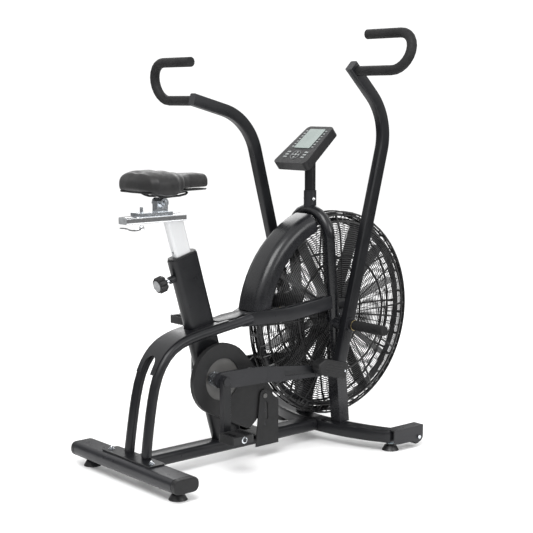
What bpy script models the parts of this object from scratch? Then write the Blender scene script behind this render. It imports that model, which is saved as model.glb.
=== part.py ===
"""Air bike: fan bike with pull handles, modelled as separate pieces.

Metres, +Z up. +X points forward, from the saddle to the fan, and +Y to the rider's left.
The origin is on the floor, in the middle of the bike's length and width.
Dimensions along X are from a drawing datum, and the last step moves all pieces by DATUM_X.
Pieces that turn together hang from an empty on their joint's axis.
"""
import math

import bmesh
import bpy
from mathutils import Matrix, Vector

# ---------------------------------------------------------------- driving dimensions
DATUM_X = -0.0980               # the lengths below are from a datum this far behind the bike's middle
GAP = 0.0003                    # air left between two pieces that touch
FLOOR_TUBE_Z = (0.030, 0.075)   # bottom and top of both stabilizers
RAIL_Z = (0.036, 0.076)         # bottom and top of the base rail
RAIL_HALF_WIDTH = 0.0335

REAR_TUBE_X = -0.4785           # centre line of the rear stabilizer
REAR_TUBE_DEPTH = 0.090
REAR_TUBE_HALF = 0.262          # half its length, without the end caps
REAR_CAP_LENGTH = 0.020
FRONT_TUBE_X = 0.3085           # front stabilizer at the middle
FRONT_TUBE_SWEEP = 0.83         # it bows forward by this times Y squared
FRONT_TUBE_DEPTH = 0.070
FRONT_TUBE_HALF = 0.300

REAR_FOOT = (-0.4735, 0.231)
FRONT_FOOT = (0.3885, 0.272)
WHEEL_AXIS = (0.482, 0.036)
WHEEL_RADIUS = 0.026
WHEEL_Y = 0.293

ARCH_TUBE_RADIUS = 0.016
ARCH_TUBE_Y = (0.046, 0.039)     # half the spacing of the bent tubes, at the floor and at the yoke
ARCH_PATH = (                   # centre line of the two bent rear tubes, as (x, z)
    (-0.4548, 0.0824), (-0.4540, 0.1000), (-0.4440, 0.1700), (-0.4290, 0.2550),
    (-0.4080, 0.3260), (-0.3720, 0.3820), (-0.3190, 0.4170), (-0.2300, 0.4380),
    (-0.0300, 0.4650),
)

SEAT_TILT = math.radians(16.1)  # the seat tube leans back
SEAT_TUBE_TOP = (-0.2785, 0.688)
SEAT_TUBE_SIZE = (0.104, 0.045)
SEAT_POST_SIZE = (0.060, 0.030)
SEAT_POST_TOP = 0.112           # post's top above the tube's mouth, along the tube
SEAT_POST_BOTTOM = -0.200
SLIDER_X = (-0.4985, -0.2745)
SLIDER_Z = (0.8000, 0.8220)
CARRIAGE_X = (-0.4530, -0.3300)
SADDLE_X = (-0.4630, -0.1860)
SADDLE_Z = (0.8950, 0.9600)
SADDLE_PIVOT = (-0.3600, 0.8600)

FORK_HALF = 0.090               # half the spacing of the fork's legs
FORK_TUBE_RADIUS = 0.019
FORK_RAKE = -0.09               # change of x for each metre upward
FORK_X = 0.2740                 # centre line at FORK_Z
FORK_Z = 0.670
FORK_ARCH_Z = 0.713             # where the arch starts
FORK_FOOT_Z = 0.0755
POST_TOP_Z = 0.262
POST_SIZE = 0.044
MAST_X = 0.2650

YOKE_AT = 0.4655                # height of the yoke's middle at x = 0
YOKE_HEIGHT = 0.046
YOKE_FRONT_X = 0.2830
YOKE_NOSE = (-0.012, 0.048)     # centre and radius of its round rear end
YOKE_SHOULDER_X = 0.085         # where its arms run straight ahead
YOKE_ARM = (0.0775, 0.1025)     # inner and outer faces of the arms
YOKE_TILT = math.radians(6.0)

FAN_X, FAN_Z = 0.3655, 0.4390
CAGE_RADIUS = 0.354
CAGE_HALF_WIDTH = 0.0215
GRILLE_FACE_Y = 0.055
ROTOR_RADIUS = 0.330
PADDLES = 14
SHROUD_RADIUS = 0.392
SHROUD_INNER_RADIUS = 0.334
SHROUD_HALF_WIDTH = 0.0585
SHROUD_DROP = 0.014             # its centre is this far below the fan's
SHROUD_ARC = (110.5, 176.0)     # degrees round its centre, from straight ahead

CRANK_X, CRANK_Z = -0.1680, 0.2880
CRANK_THROW = 0.0405            # from the spindle to a link's pin
CRANK_TURN = math.radians(13.5) # the throws' slope as the bike stands
CRANK_ARM = 0.169               # from the link's pin to the pedal
CRANK_PULLEY_RADIUS = 0.100
PIN_RADIUS = 0.0145
WEB_Y = (0.0655, 0.0785)
BOSS_Y = (0.0780, 0.0995)
LINK_Y = (0.1010, 0.1130)       # the link's big end; it cranks outward to LINK_TIP_Y
LINK_TIP_Y = (0.1140, 0.1260)
ARM_Y = (0.1160, 0.1340)
PEDAL_Y = (0.1385, 0.2185)

JACK_X, JACK_Z = 0.0030, 0.2095
JACK_SMALL_RADIUS = 0.0260
JACK_BIG_RADIUS = 0.0550
FAN_PULLEY_RADIUS = 0.0300
CRANK_BELT_Y = (-0.0580, -0.0480)
FAN_BELT_Y = (0.0590, 0.0670)
BELT_THICKNESS = 0.003
BELT_GAP = 0.0007               # the belts' straight facets stay clear of the pulleys' corners

GUARD_Y = (-0.0630, -0.0440)
GUARD_RADIUS = 0.1165
GUARD_LOBE_RADIUS = 0.0410
GUARD_CORNER = (-0.0614, 0.1294)
GUARD_WINDOW_RADIUS = 0.068
SHEET = 0.003                   # thickness of the pressed guards and covers

LEVER_X, LEVER_Z = 0.3000, 0.4240
LEVER_LEAN = math.radians(14.95)
LEVER_ARM = 0.157               # from the pivot down to the link's joint
LEVER_Y = (0.1330, 0.1630)
LEVER_DEPTH = 0.040
LEVER_STRAIGHT = 0.600
LEVER_BEND_RADIUS = 0.190
LEVER_BEND = math.radians(60)
LEVER_TAIL = 0.137
GRIP_RADIUS = 0.0165
GRIP_LOWER = (-0.188, 0.821)    # lower bar, in the upright lever's own frame
GRIP_UPPER = (-0.178, 0.948)
GRIP_BEND_Y = 0.311
GRIP_END_Y = 0.160

PEG_Y = (0.1713, 0.3250)
CONSOLE_AT = (0.2400, 1.0230)
CONSOLE_TILT = math.radians(38.4)
CONSOLE_LENGTH = 0.191
CONSOLE_HALF_WIDTH = (0.080, 0.065)
CONSOLE_DEPTH = 0.032

# ---------------------------------------------------------------- collections and materials
PARTS_NAME = "air_bike"


def clear_scene():
    """Remove what the file opened with."""
    for obj in list(bpy.data.objects):
        bpy.data.objects.remove(obj, do_unlink=True)


def new_collection(name):
    """A collection under the scene's own."""
    made = bpy.data.collections.new(name)
    bpy.context.scene.collection.children.link(made)
    return made


clear_scene()
PARTS = new_collection(PARTS_NAME)
GUIDES = new_collection("cutters")


def make_material(name, color, roughness, metallic=0.0):
    """A Principled material."""
    mat = bpy.data.materials.new(name)
    mat.use_nodes = True
    shader = mat.node_tree.nodes["Principled BSDF"]
    shader.inputs["Base Color"].default_value = (*color, 1.0)
    shader.inputs["Roughness"].default_value = roughness
    shader.inputs["Metallic"].default_value = metallic
    mat.diffuse_color = (*color, 1.0)
    return mat


BLACK_PAINT = make_material("black_paint", (0.025, 0.026, 0.028), 0.42)
BLACK_PLASTIC = make_material("black_plastic", (0.030, 0.030, 0.032), 0.55)
BLACK_RUBBER = make_material("black_rubber", (0.015, 0.015, 0.016), 0.80)
GREY_PLASTIC = make_material("grey_plastic", (0.16, 0.16, 0.16), 0.50)
SILVER = make_material("silver_tube", (0.72, 0.73, 0.74), 0.28, 0.9)
ZINC = make_material("zinc_steel", (0.60, 0.63, 0.66), 0.32, 1.0)
SADDLE_SKIN = make_material("saddle_skin", (0.022, 0.022, 0.024), 0.60)
SCREEN_GLASS = make_material("screen_glass", (0.42, 0.50, 0.46), 0.20)


# ---------------------------------------------------------------- outlines
def arc(center, radius, start, end, steps):
    """Points on an arc, in degrees, both ends included."""
    points = []
    for i in range(steps + 1):
        angle = math.radians(start + (end - start) * i / steps)
        points.append((center[0] + radius * math.cos(angle), center[1] + radius * math.sin(angle)))
    return points


def circle(center, radius, steps=24):
    """A closed round outline."""
    return arc(center, radius, 0, 360, steps)[:-1]


def round_box(size, radius, center=(0.0, 0.0), steps=3):
    """A rectangle with round corners."""
    half_u = size[0] / 2 - radius
    half_v = size[1] / 2 - radius
    points = []
    for i, (su, sv) in enumerate(((1, 1), (-1, 1), (-1, -1), (1, -1))):
        corner = (center[0] + su * half_u, center[1] + sv * half_v)
        points += arc(corner, radius, 90 * i, 90 * i + 90, steps)
    return points


def around_two(first, first_radius, second, second_radius, steps=12):
    """The taut loop round two circles, as a belt lies on its pulleys."""
    du, dv = second[0] - first[0], second[1] - first[1]
    heading = math.degrees(math.atan2(dv, du))
    touch = math.degrees(math.acos((first_radius - second_radius) / math.hypot(du, dv)))
    points = arc(first, first_radius, heading + touch, heading + 360 - touch, steps)
    points += arc(second, second_radius, heading - touch, heading + touch, steps // 2)
    return points


# ---------------------------------------------------------------- shapes
PLANES = {
    # columns: where an outline's u, v and thickness directions point
    "XY": Matrix(((1, 0, 0), (0, 1, 0), (0, 0, 1))),
    "XZ": Matrix(((1, 0, 0), (0, 0, -1), (0, 1, 0))),
    "YZ": Matrix(((0, 0, 1), (1, 0, 0), (0, 1, 0))),
}


def link_object(name, mesh, material, parent=None):
    """Put a mesh in the parts' collection, shaded smooth over its round faces."""
    obj = bpy.data.objects.new(name, mesh)
    mesh.name = name
    mesh.materials.clear()
    mesh.materials.append(material)
    mesh.shade_smooth()
    mesh.set_sharp_from_angle(angle=math.radians(35))
    PARTS.objects.link(obj)
    obj.parent = parent
    return obj


def as_guide(obj):
    """Turn an object into a cutter or a joined shape, which the build leaves out."""
    PARTS.objects.unlink(obj)
    GUIDES.objects.link(obj)
    obj.display_type = "WIRE"
    obj.hide_render = True
    return obj


def curve_to_object(name, curve, matrix, material, parent):
    """Make a curve into a welded mesh object."""
    holder = bpy.data.objects.new(name + "_curve", curve)
    bpy.context.scene.collection.objects.link(holder)
    bpy.context.view_layer.update()
    evaluated = holder.evaluated_get(bpy.context.evaluated_depsgraph_get())
    mesh = bpy.data.meshes.new_from_object(evaluated)
    mesh.transform(matrix)
    shape = bmesh.new()
    shape.from_mesh(mesh)
    bmesh.ops.remove_doubles(shape, verts=shape.verts, dist=1e-5)
    bmesh.ops.recalc_face_normals(shape, faces=shape.faces)
    shape.to_mesh(mesh)
    shape.free()
    bpy.data.objects.remove(holder, do_unlink=True)
    return link_object(name, mesh, material, parent)


def slab(name, outlines, span, material, plane="XZ", parent=None):
    """A flat outline, with any holes after it, made thick from span[0] to span[1]."""
    curve = bpy.data.curves.new(name, "CURVE")
    curve.dimensions = "2D"
    curve.fill_mode = "BOTH"
    curve.extrude = abs(span[1] - span[0]) / 2
    for outline in outlines:
        spline = curve.splines.new("POLY")
        spline.points.add(len(outline) - 1)
        for point, (u, v) in zip(spline.points, outline):
            point.co = (u, v, 0.0, 1.0)
        spline.use_cyclic_u = True
    turn = PLANES[plane].to_4x4()
    middle = (span[0] + span[1]) / 2
    offset = {"XY": (0, 0, middle), "XZ": (0, middle, 0), "YZ": (middle, 0, 0)}[plane]
    return curve_to_object(name, curve, Matrix.Translation(offset) @ turn, material, parent)


def tube(name, points, radius, material, parent=None, sides=12, smooth=4, closed=False):
    """A round tube along points, bent smoothly when smooth is over 1."""
    curve = bpy.data.curves.new(name, "CURVE")
    curve.dimensions = "3D"
    curve.bevel_depth = radius
    curve.bevel_resolution = sides // 2 - 2
    curve.use_fill_caps = not closed
    curve.resolution_u = smooth
    if smooth > 1:
        spline = curve.splines.new("BEZIER")
        spline.bezier_points.add(len(points) - 1)
        for point, place in zip(spline.bezier_points, points):
            point.co = place
            point.handle_left_type = "AUTO"
            point.handle_right_type = "AUTO"
    else:
        spline = curve.splines.new("POLY")
        spline.points.add(len(points) - 1)
        for point, place in zip(spline.points, points):
            point.co = (*place, 1.0)
    spline.use_cyclic_u = closed
    return curve_to_object(name, curve, Matrix.Identity(4), material, parent)


def rod(name, radius, start, end, material, parent=None, sides=24, end_radius=None):
    """A cylinder or a cone from start to end."""
    start, end = Vector(start), Vector(end)
    shape = bmesh.new()
    bmesh.ops.create_cone(
        shape, cap_ends=True, segments=sides, radius1=radius,
        radius2=radius if end_radius is None else end_radius, depth=(end - start).length)
    turn = (end - start).to_track_quat("Z", "Y").to_matrix().to_4x4()
    bmesh.ops.transform(shape, matrix=Matrix.Translation((start + end) / 2) @ turn, verts=shape.verts)
    mesh = bpy.data.meshes.new(name)
    shape.to_mesh(mesh)
    shape.free()
    return link_object(name, mesh, material, parent)


def cross_rod(name, radius, at, span, material, parent=None, sides=24):
    """A cylinder along Y through at = (x, z)."""
    return rod(name, radius, (at[0], span[0], at[1]), (at[0], span[1], at[1]), material, parent, sides)


def box(name, span_x, span_y, span_z, material, parent=None):
    """A box between the given limits."""
    spans = (span_x, span_y, span_z)
    shape = bmesh.new()
    bmesh.ops.create_cube(shape, size=1.0)
    scale = Matrix.Diagonal([abs(s[1] - s[0]) for s in spans]).to_4x4()
    middle = Matrix.Translation([(s[0] + s[1]) / 2 for s in spans])
    bmesh.ops.transform(shape, matrix=middle @ scale, verts=shape.verts)
    mesh = bpy.data.meshes.new(name)
    shape.to_mesh(mesh)
    shape.free()
    return link_object(name, mesh, material, parent)


def turned(name, profile, steps, material, axis_at, sweep=360.0, start=0.0, thickness=0.0):
    """A profile of (radius, y) points screwed round the Y axis through axis_at = (x, z)."""
    mesh = bpy.data.meshes.new(name)
    closed = thickness == 0.0
    edges = [(i, i + 1) for i in range(len(profile) - 1)]
    if closed:
        edges.append((len(profile) - 1, 0))
    mesh.from_pydata([(r, 0.0, y) for r, y in profile], edges, [])
    obj = bpy.data.objects.new(name, mesh)
    mesh.materials.append(material)
    PARTS.objects.link(obj)
    screw = obj.modifiers.new("screw", "SCREW")
    screw.axis = "Z"
    screw.angle = math.radians(sweep)
    screw.steps = steps
    screw.render_steps = steps
    screw.use_merge_vertices = sweep == 360.0
    screw.merge_threshold = 0.00005
    screw.use_smooth_shade = True
    if thickness:
        shell = obj.modifiers.new("shell", "SOLIDIFY")
        shell.thickness = thickness
        shell.offset = -1.0
    obj.location = (axis_at[0], 0.0, axis_at[1])
    obj.rotation_euler = (math.radians(-90), math.radians(start), 0.0)
    obj.rotation_mode = "XYZ"
    return obj


def soften(obj, width, segments=2, angle=40):
    """Round an object's sharp edges."""
    bevel = obj.modifiers.new("round", "BEVEL")
    bevel.width = width
    bevel.segments = segments
    bevel.limit_method = "ANGLE"
    bevel.angle_limit = math.radians(angle)
    bevel.harden_normals = False
    return obj


def combine(obj, others, operation):
    """Join or cut obj with each of the others, which become guides."""
    for other in others:
        step = obj.modifiers.new(other.name, "BOOLEAN")
        step.operation = operation
        step.solver = "EXACT"
        step.object = as_guide(other)
    return obj


def join(obj, *others):
    """Weld shapes into obj."""
    return combine(obj, others, "UNION")


def cut(obj, *others):
    """Cut shapes out of obj."""
    return combine(obj, others, "DIFFERENCE")


def axis_empty(name, location, turn=0.0, parent=None):
    """An empty on a joint's axis, leaned by turn about Y."""
    empty = bpy.data.objects.new(name, None)
    empty.empty_display_size = 0.05
    empty.location = location
    empty.rotation_euler = (0.0, turn, 0.0)
    empty.parent = parent
    GUIDES.objects.link(empty)
    return empty


def side_span(side, span):
    """A span of distances from the middle plane, on the right (-1) or left (+1) side."""
    return tuple(sorted((side * span[0], side * span[1])))


SIDES = (("right", -1), ("left", 1))


# ---------------------------------------------------------------- base frame
def swept_x(y):
    """Centre line of the front stabilizer at y."""
    return FRONT_TUBE_X + FRONT_TUBE_SWEEP * y * y


def swept_outline(half, depth, steps=12):
    """Plan of the bowed front stabilizer."""
    ys = [-half + 2 * half * i / steps for i in range(steps + 1)]
    front = [(swept_x(y) + depth / 2, y) for y in ys]
    rear = [(swept_x(y) - depth / 2, y) for y in reversed(ys)]
    return front + rear


def foot_hole(name, at):
    """The threaded hole that a levelling foot's stud stands in."""
    return rod(name, 0.0058, (*at, 0.020), (*at, 0.062), ZINC, sides=12)


def make_rear_stabilizer():
    """Flat oval tube with a cap on each end."""
    height = FLOOR_TUBE_Z[1] - FLOOR_TUBE_Z[0]
    middle = (REAR_TUBE_X, sum(FLOOR_TUBE_Z) / 2)
    section = round_box((REAR_TUBE_DEPTH, height), 0.018, middle)
    body = slab("rear_stabilizer", [section], (-REAR_TUBE_HALF, REAR_TUBE_HALF), BLACK_PAINT)
    cut(body, *[foot_hole(f"rear_foot_hole_{name}", (REAR_FOOT[0], side * REAR_FOOT[1]))
                for name, side in SIDES])
    for name, side in SIDES:
        span = (REAR_TUBE_HALF + GAP, REAR_TUBE_HALF + REAR_CAP_LENGTH)
        cap = slab(f"rear_cap_{name}", [section], side_span(side, span), BLACK_PLASTIC)
        soften(cap, 0.006)


def wheel_channel(name, side):
    """Inverted channel at the front stabilizer's end, with the transport wheel in it."""
    x0, x1, z0, z1 = 0.3640, 0.5050, 0.0220, 0.0752
    side_view = [(x0, z0 + 0.008), (x0 + 0.02, z0 + 0.004), (0.455, z0 + 0.002), (0.468, z0 - 0.004)]
    side_view += arc((x1 - 0.020, z0 + 0.016), 0.020, -90, 0, 4)
    side_view += [(x1, z1), (x0, z1)]
    outer = slab(f"{name}_outer", [side_view], side_span(side, (0.3100, 0.3140)), BLACK_PAINT)
    flange = box(f"{name}_top", (x0, x1), side_span(side, (0.2720, 0.3120)), (z1 - 0.004, z1),
                 BLACK_PAINT)
    inner = box(f"{name}_inner", (0.4200, x1), side_span(side, (0.2720, 0.2760)), (0.0240, z1 - 0.001),
                BLACK_PAINT)
    return outer, flange, inner


def make_front_stabilizer():
    """Bowed tube with a wheel channel welded to each end."""
    body = slab("front_stabilizer", [swept_outline(FRONT_TUBE_HALF, FRONT_TUBE_DEPTH)],
                FLOOR_TUBE_Z, BLACK_PAINT, plane="XY")
    soften(body, 0.014, 2, 60)
    for name, side in SIDES:
        join(body, *wheel_channel(f"channel_{name}", side))
    cut(body, *[foot_hole(f"front_foot_hole_{name}", (FRONT_FOOT[0], side * FRONT_FOOT[1]))
                for name, side in SIDES])
    axle_holes = [cross_rod(f"wheel_axle_hole_{name}", 0.0045, WHEEL_AXIS,
                            side_span(side, (0.265, 0.320)), ZINC, sides=16) for name, side in SIDES]
    cut(body, *axle_holes)


def make_wheel(name, side):
    """Transport wheel with its own axle pin."""
    wheel = cross_rod(f"transport_wheel_{name}", WHEEL_RADIUS, WHEEL_AXIS,
                      side_span(side, (WHEEL_Y - 0.012, WHEEL_Y + 0.012)), BLACK_RUBBER, sides=28)
    pin = cross_rod(f"wheel_pin_{name}", 0.0040, WHEEL_AXIS, side_span(side, (0.2700, 0.3170)), ZINC,
                    sides=16)
    join(wheel, pin)


def make_foot(name, at):
    """Levelling foot: rubber cone, nut and stud, one screwed unit."""
    foot = rod(f"levelling_foot_{name}", 0.029, (*at, 0.0), (*at, 0.016), BLACK_RUBBER,
               end_radius=0.020)
    nut = rod(f"foot_nut_{name}", 0.0150, (*at, 0.0150), (*at, 0.0240), ZINC, sides=6)
    stud = rod(f"foot_stud_{name}", 0.0050, (*at, 0.0200), (*at, 0.0550), ZINC, sides=12)
    join(foot, nut, stud)


def make_base_rail():
    """Long tube between the two stabilizers."""
    height = RAIL_Z[1] - RAIL_Z[0]
    section = round_box((2 * RAIL_HALF_WIDTH, height), 0.014, (0.0, sum(RAIL_Z) / 2))
    rear = REAR_TUBE_X + REAR_TUBE_DEPTH / 2 + GAP
    front = FRONT_TUBE_X - FRONT_TUBE_DEPTH / 2 - GAP
    slab("base_rail", [section], (rear, front), BLACK_PAINT, plane="YZ")


def make_mount_plate():
    """Plate that bolts the frame to the rear stabilizer."""
    size = (0.060, 0.260)
    plate = slab("rear_mount_plate", [round_box(size, 0.006, (-0.4735, 0.0))],
                 (FLOOR_TUBE_Z[1] + GAP, 0.0803), BLACK_PAINT, plane="XY")
    return plate


# ---------------------------------------------------------------- rear arch, seat tube and yoke
def smooth_path(points, steps=5):
    """Points on a smooth curve through the given ones."""
    result = []
    count = len(points)
    for i in range(count - 1):
        p0 = Vector(points[max(i - 1, 0)])
        p1, p2 = Vector(points[i]), Vector(points[i + 1])
        p3 = Vector(points[min(i + 2, count - 1)])
        for k in range(steps):
            t = k / steps
            result.append(0.5 * (2 * p1 + (p2 - p0) * t + (2 * p0 - 5 * p1 + 4 * p2 - p3) * t * t
                                 + (3 * p1 - p0 - 3 * p2 + p3) * t * t * t))
    result.append(Vector(points[-1]))
    return result


def offset_path(points, distance):
    """A flat path moved sideways, to the left of its direction."""
    moved = []
    for i, point in enumerate(points):
        ahead = points[min(i + 1, len(points) - 1)] - points[max(i - 1, 0)]
        normal = Vector((-ahead.y, ahead.x)).normalized()
        moved.append(point + normal * distance)
    return moved


def arch_line(side, overrun=0.0):
    """Centre line of one bent rear tube, drawing inward as it climbs."""
    path = smooth_path(ARCH_PATH, 2)
    low, high = ARCH_TUBE_Y
    points = []
    for i, p in enumerate(path):
        points.append((p.x, side * (low + (high - low) * i / (len(path) - 1)), p.y))
    x, y, z = points[-1]
    points[-1] = (x + overrun, y, z)
    return points


def make_arch():
    """Two bent tubes from the rear plate up and forward to the yoke, and their cover plate."""
    for name, side in SIDES:
        tube(f"arch_tube_{name}", arch_line(side), ARCH_TUBE_RADIUS, BLACK_PAINT, smooth=1)
    covered = [p for p in smooth_path(ARCH_PATH, 4) if p.y > 0.318 and p.x < -0.075]
    low = offset_path(covered, ARCH_TUBE_RADIUS + GAP)
    high = offset_path(covered, ARCH_TUBE_RADIUS + GAP + SHEET)
    outline = [tuple(p) for p in low] + [tuple(p) for p in reversed(high)]
    cover = slab("arch_cover_plate", [outline], (-0.046, 0.046), BLACK_PAINT)
    slot = box("arch_slot", (-0.460, -0.395), (-0.026, 0.026), (0.300, 0.360), BLACK_PAINT)
    slot_end = rod("arch_slot_end", 0.026, (-0.460, 0.0, 0.360), (-0.360, 0.0, 0.360), BLACK_PAINT)
    clearance = seat_bar("arch_seat_clearance", SEAT_TUBE_SIZE, 0.012, (-0.40, -0.10), 0.0006)
    cut(cover, slot, slot_end, clearance)


def seat_bar(name, size, radius, span, grow=0.0, material=BLACK_PAINT):
    """A bar along the leaning seat tube's own axis, measured from the tube's mouth."""
    outline = round_box((size[0] + 2 * grow, size[1] + 2 * grow), radius + grow)
    return slab(name, [outline], span, material, plane="XY", parent=SEAT_AXIS)


def make_seat_tube():
    """Leaning tube from the base rail to the seat post's sleeve."""
    tube_body = seat_bar("seat_tube", SEAT_TUBE_SIZE, 0.018, (-0.670, 0.0))
    socket = seat_bar("seat_tube_bore", (0.070, 0.036), 0.010, (-0.320, 0.020))
    barrel = rod("pin_barrel", 0.012, (-0.046, 0, -0.057), (-0.068, 0, -0.057), BLACK_PAINT, SEAT_AXIS)
    barrel_hole = rod("pin_barrel_hole", 0.0060, (-0.030, 0, -0.057), (-0.080, 0, -0.057),
                      BLACK_PAINT, SEAT_AXIS, sides=16)
    ground = box("seat_tube_foot_cut", (-0.30, 0.10), (-0.05, 0.05), (0.0, RAIL_Z[1] + GAP), BLACK_PAINT)
    shell_seat = cross_rod("crank_shell_seat", 0.0225, (CRANK_X, CRANK_Z), (-0.05, 0.05), BLACK_PAINT)
    join(tube_body, barrel)
    cut(tube_body, socket, barrel_hole, ground, shell_seat)
    sleeve = seat_bar("seat_tube_sleeve", (0.0690, 0.0350), 0.010, (-0.090, 0.002), 0.0, BLACK_PLASTIC)
    flange = seat_bar("sleeve_flange", (0.0980, 0.0420), 0.016, (GAP, 0.006), 0.0, BLACK_PLASTIC)
    join(sleeve, flange)
    cut(sleeve, seat_bar("sleeve_bore", SEAT_POST_SIZE, 0.008, (-0.12, 0.03), 0.0005),
        rod("sleeve_pin_hole", 0.0065, (-0.028, 0, -0.057), (-0.045, 0, -0.057), BLACK_PLASTIC,
            SEAT_AXIS, sides=16))


def yoke_outline():
    """Plan of the Y-shaped band: a round nose at the rear and an arm on each side of the fan."""
    inner, outer = YOKE_ARM
    nose, radius = YOKE_NOSE
    hollow = radius - 0.016
    points = [(YOKE_FRONT_X, outer), (YOKE_SHOULDER_X, outer)]
    points += arc((nose, 0.0), radius, 110, 250, 10)
    points += [(YOKE_SHOULDER_X, -outer), (YOKE_FRONT_X, -outer)]
    points += [(YOKE_FRONT_X, -inner), (YOKE_SHOULDER_X + 0.005, -inner)]
    points += arc((nose + 0.014, 0.0), hollow, 250, 110, 8)
    points += [(YOKE_SHOULDER_X + 0.005, inner), (YOKE_FRONT_X, inner)]
    return points


def make_yoke():
    """Band that ties the rear arch to the fork's legs."""
    half = YOKE_HEIGHT / 2
    yoke = slab("yoke", [yoke_outline()], (-half, half), BLACK_PAINT, plane="XY", parent=YOKE_AXIS)
    soften(yoke, 0.005, 2, 60)
    for name, side in SIDES:
        sockets = [tube(f"arch_end_{name}", arch_line(side, 0.0006), ARCH_TUBE_RADIUS + 0.0004,
                        BLACK_PAINT, smooth=1),
                   rod(f"fork_cope_{name}", FORK_TUBE_RADIUS + 0.0006,
                       (fork_x(0.35), side * FORK_HALF, 0.35), (fork_x(0.65), side * FORK_HALF, 0.65),
                       BLACK_PAINT, sides=32)]
        cut(yoke, *sockets)


# ---------------------------------------------------------------- fork, mast and console
def fork_x(z):
    """Centre line of the raked fork at height z."""
    return FORK_X + FORK_RAKE * (z - FORK_Z)


def fork_path():
    """Centre line of the fork's tube, from one foot over the arch to the other."""
    points = [(-FORK_HALF, FORK_FOOT_Z + 0.010), (-FORK_HALF, FORK_ARCH_Z)]
    points += [(-u, v) for u, v in arc((0.0, FORK_ARCH_Z), FORK_HALF, 0, 180, 12)][1:-1]
    points += [(FORK_HALF, FORK_ARCH_Z), (FORK_HALF, FORK_FOOT_Z + 0.010)]
    return [(fork_x(z), y, z) for y, z in points]


def make_fork():
    """Fork tube with its lower posts, the levers' bosses and the fan's dropout plates."""
    fork = tube("front_fork", fork_path(), FORK_TUBE_RADIUS, BLACK_PAINT, sides=16, smooth=1)
    for name, side in SIDES:
        inner_y, outer_y = FORK_HALF - POST_SIZE / 2, FORK_HALF + POST_SIZE / 2
        half = POST_SIZE / 2
        low_x, high_x = fork_x(FORK_FOOT_Z), fork_x(POST_TOP_Z)
        side_view = [(low_x - half, FORK_FOOT_Z), (low_x + half, FORK_FOOT_Z),
                     (high_x + half, POST_TOP_Z), (high_x - half, POST_TOP_Z)]
        post = slab(f"fork_post_{name}", [side_view], side_span(side, (inner_y, outer_y)), BLACK_PAINT)
        boss = cross_rod(f"lever_boss_{name}", 0.024, (LEVER_X, LEVER_Z),
                         side_span(side, (FORK_HALF, LEVER_Y[0] - 0.0008)), BLACK_PAINT)
        dropout = slab(f"fan_dropout_{name}",
                       [around_two((fork_x(FAN_Z), FAN_Z), 0.022, (FAN_X, FAN_Z), 0.024, 12)],
                       side_span(side, (0.0720, 0.0780)), BLACK_PAINT)
        hole = cross_rod(f"fan_axle_hole_{name}", 0.0084, (FAN_X, FAN_Z),
                         side_span(side, (0.065, 0.085)), ZINC, sides=20)
        join(fork, post, boss, dropout)
        cut(fork, hole)


def make_mast():
    """Console mast with its clamping sleeve on top of the fork's arch."""
    mast = rod("console_mast", 0.0185, (MAST_X, 0, 0.812), (MAST_X, 0, 0.985), BLACK_PAINT)
    sleeve = rod("mast_sleeve", 0.0215, (MAST_X, 0, 0.812), (MAST_X, 0, 0.868), BLACK_PAINT)
    arch_seat = tube("mast_foot_cut", fork_path(), FORK_TUBE_RADIUS + GAP, BLACK_PAINT, sides=16, smooth=1)
    join(mast, sleeve)
    cut(mast, arch_seat)
    under_case = box("mast_top_cut", (-0.20, 0.20), (-0.10, 0.10), (-CONSOLE_DEPTH - GAP, 0.20),
                     BLACK_PAINT, CONSOLE_AXIS)
    cut(mast, under_case)


def console_outline(shrink=0.0):
    """Face of the console, wider at the rider's end."""
    half = CONSOLE_LENGTH / 2 - shrink
    low, high = (w - shrink for w in CONSOLE_HALF_WIDTH)
    radius = 0.016
    points = arc((half - radius, high - radius), radius, 0, 90, 4)
    points += arc((-half + radius, low - radius), radius, 90, 180, 4)
    points += arc((-half + radius, -low + radius), radius, 180, 270, 4)
    points += arc((half - radius, -high + radius), radius, 270, 360, 4)
    return points


def make_console():
    """Console case and its screen, on the tilted face's own axes."""
    case = slab("console_case", [console_outline()], (-CONSOLE_DEPTH, 0.0), BLACK_PLASTIC, "XY",
                CONSOLE_AXIS)
    soften(case, 0.005, 2)
    slab("console_screen", [round_box((0.098, 0.076), 0.004, (0.030, 0.0))], (GAP, 0.0018),
         SCREEN_GLASS, "XY", CONSOLE_AXIS)


# ---------------------------------------------------------------- fan, cage and shroud
FAN_AT = (FAN_X, FAN_Z)


CAGE_TIES = 28


def make_cage_band():
    """Open rim between the two grilles: two hoops joined by short ties."""
    inner = CAGE_RADIUS - 0.005
    near, far = CAGE_HALF_WIDTH - 0.006, CAGE_HALF_WIDTH
    hoops = [turned(name, [(CAGE_RADIUS, high), (CAGE_RADIUS, low), (inner, low), (inner, high)], 56,
                    BLACK_PAINT, FAN_AT)
             for name, low, high in (("fan_cage_band", near, far), ("cage_hoop_right", -far, -near))]
    ties = []
    for i in range(CAGE_TIES):
        tie = box(f"cage_tie_{i}", (inner + 0.0012, CAGE_RADIUS - 0.0012), (-near - 0.002, near + 0.002), (-0.004, 0.004),
                  BLACK_PAINT)
        tie.location = (FAN_X, 0.0, FAN_Z)
        tie.rotation_euler = (0.0, 2 * math.pi * (i + 0.5) / CAGE_TIES, 0.0)
        ties.append(tie)
    join(hoops[0], hoops[1], *ties)


def grille_height(radius):
    """How far out the domed grille stands at a radius."""
    rim = CAGE_RADIUS - 0.012
    drop = GRILLE_FACE_Y - CAGE_HALF_WIDTH
    return GRILLE_FACE_Y - drop * (radius / rim) ** 8


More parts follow.
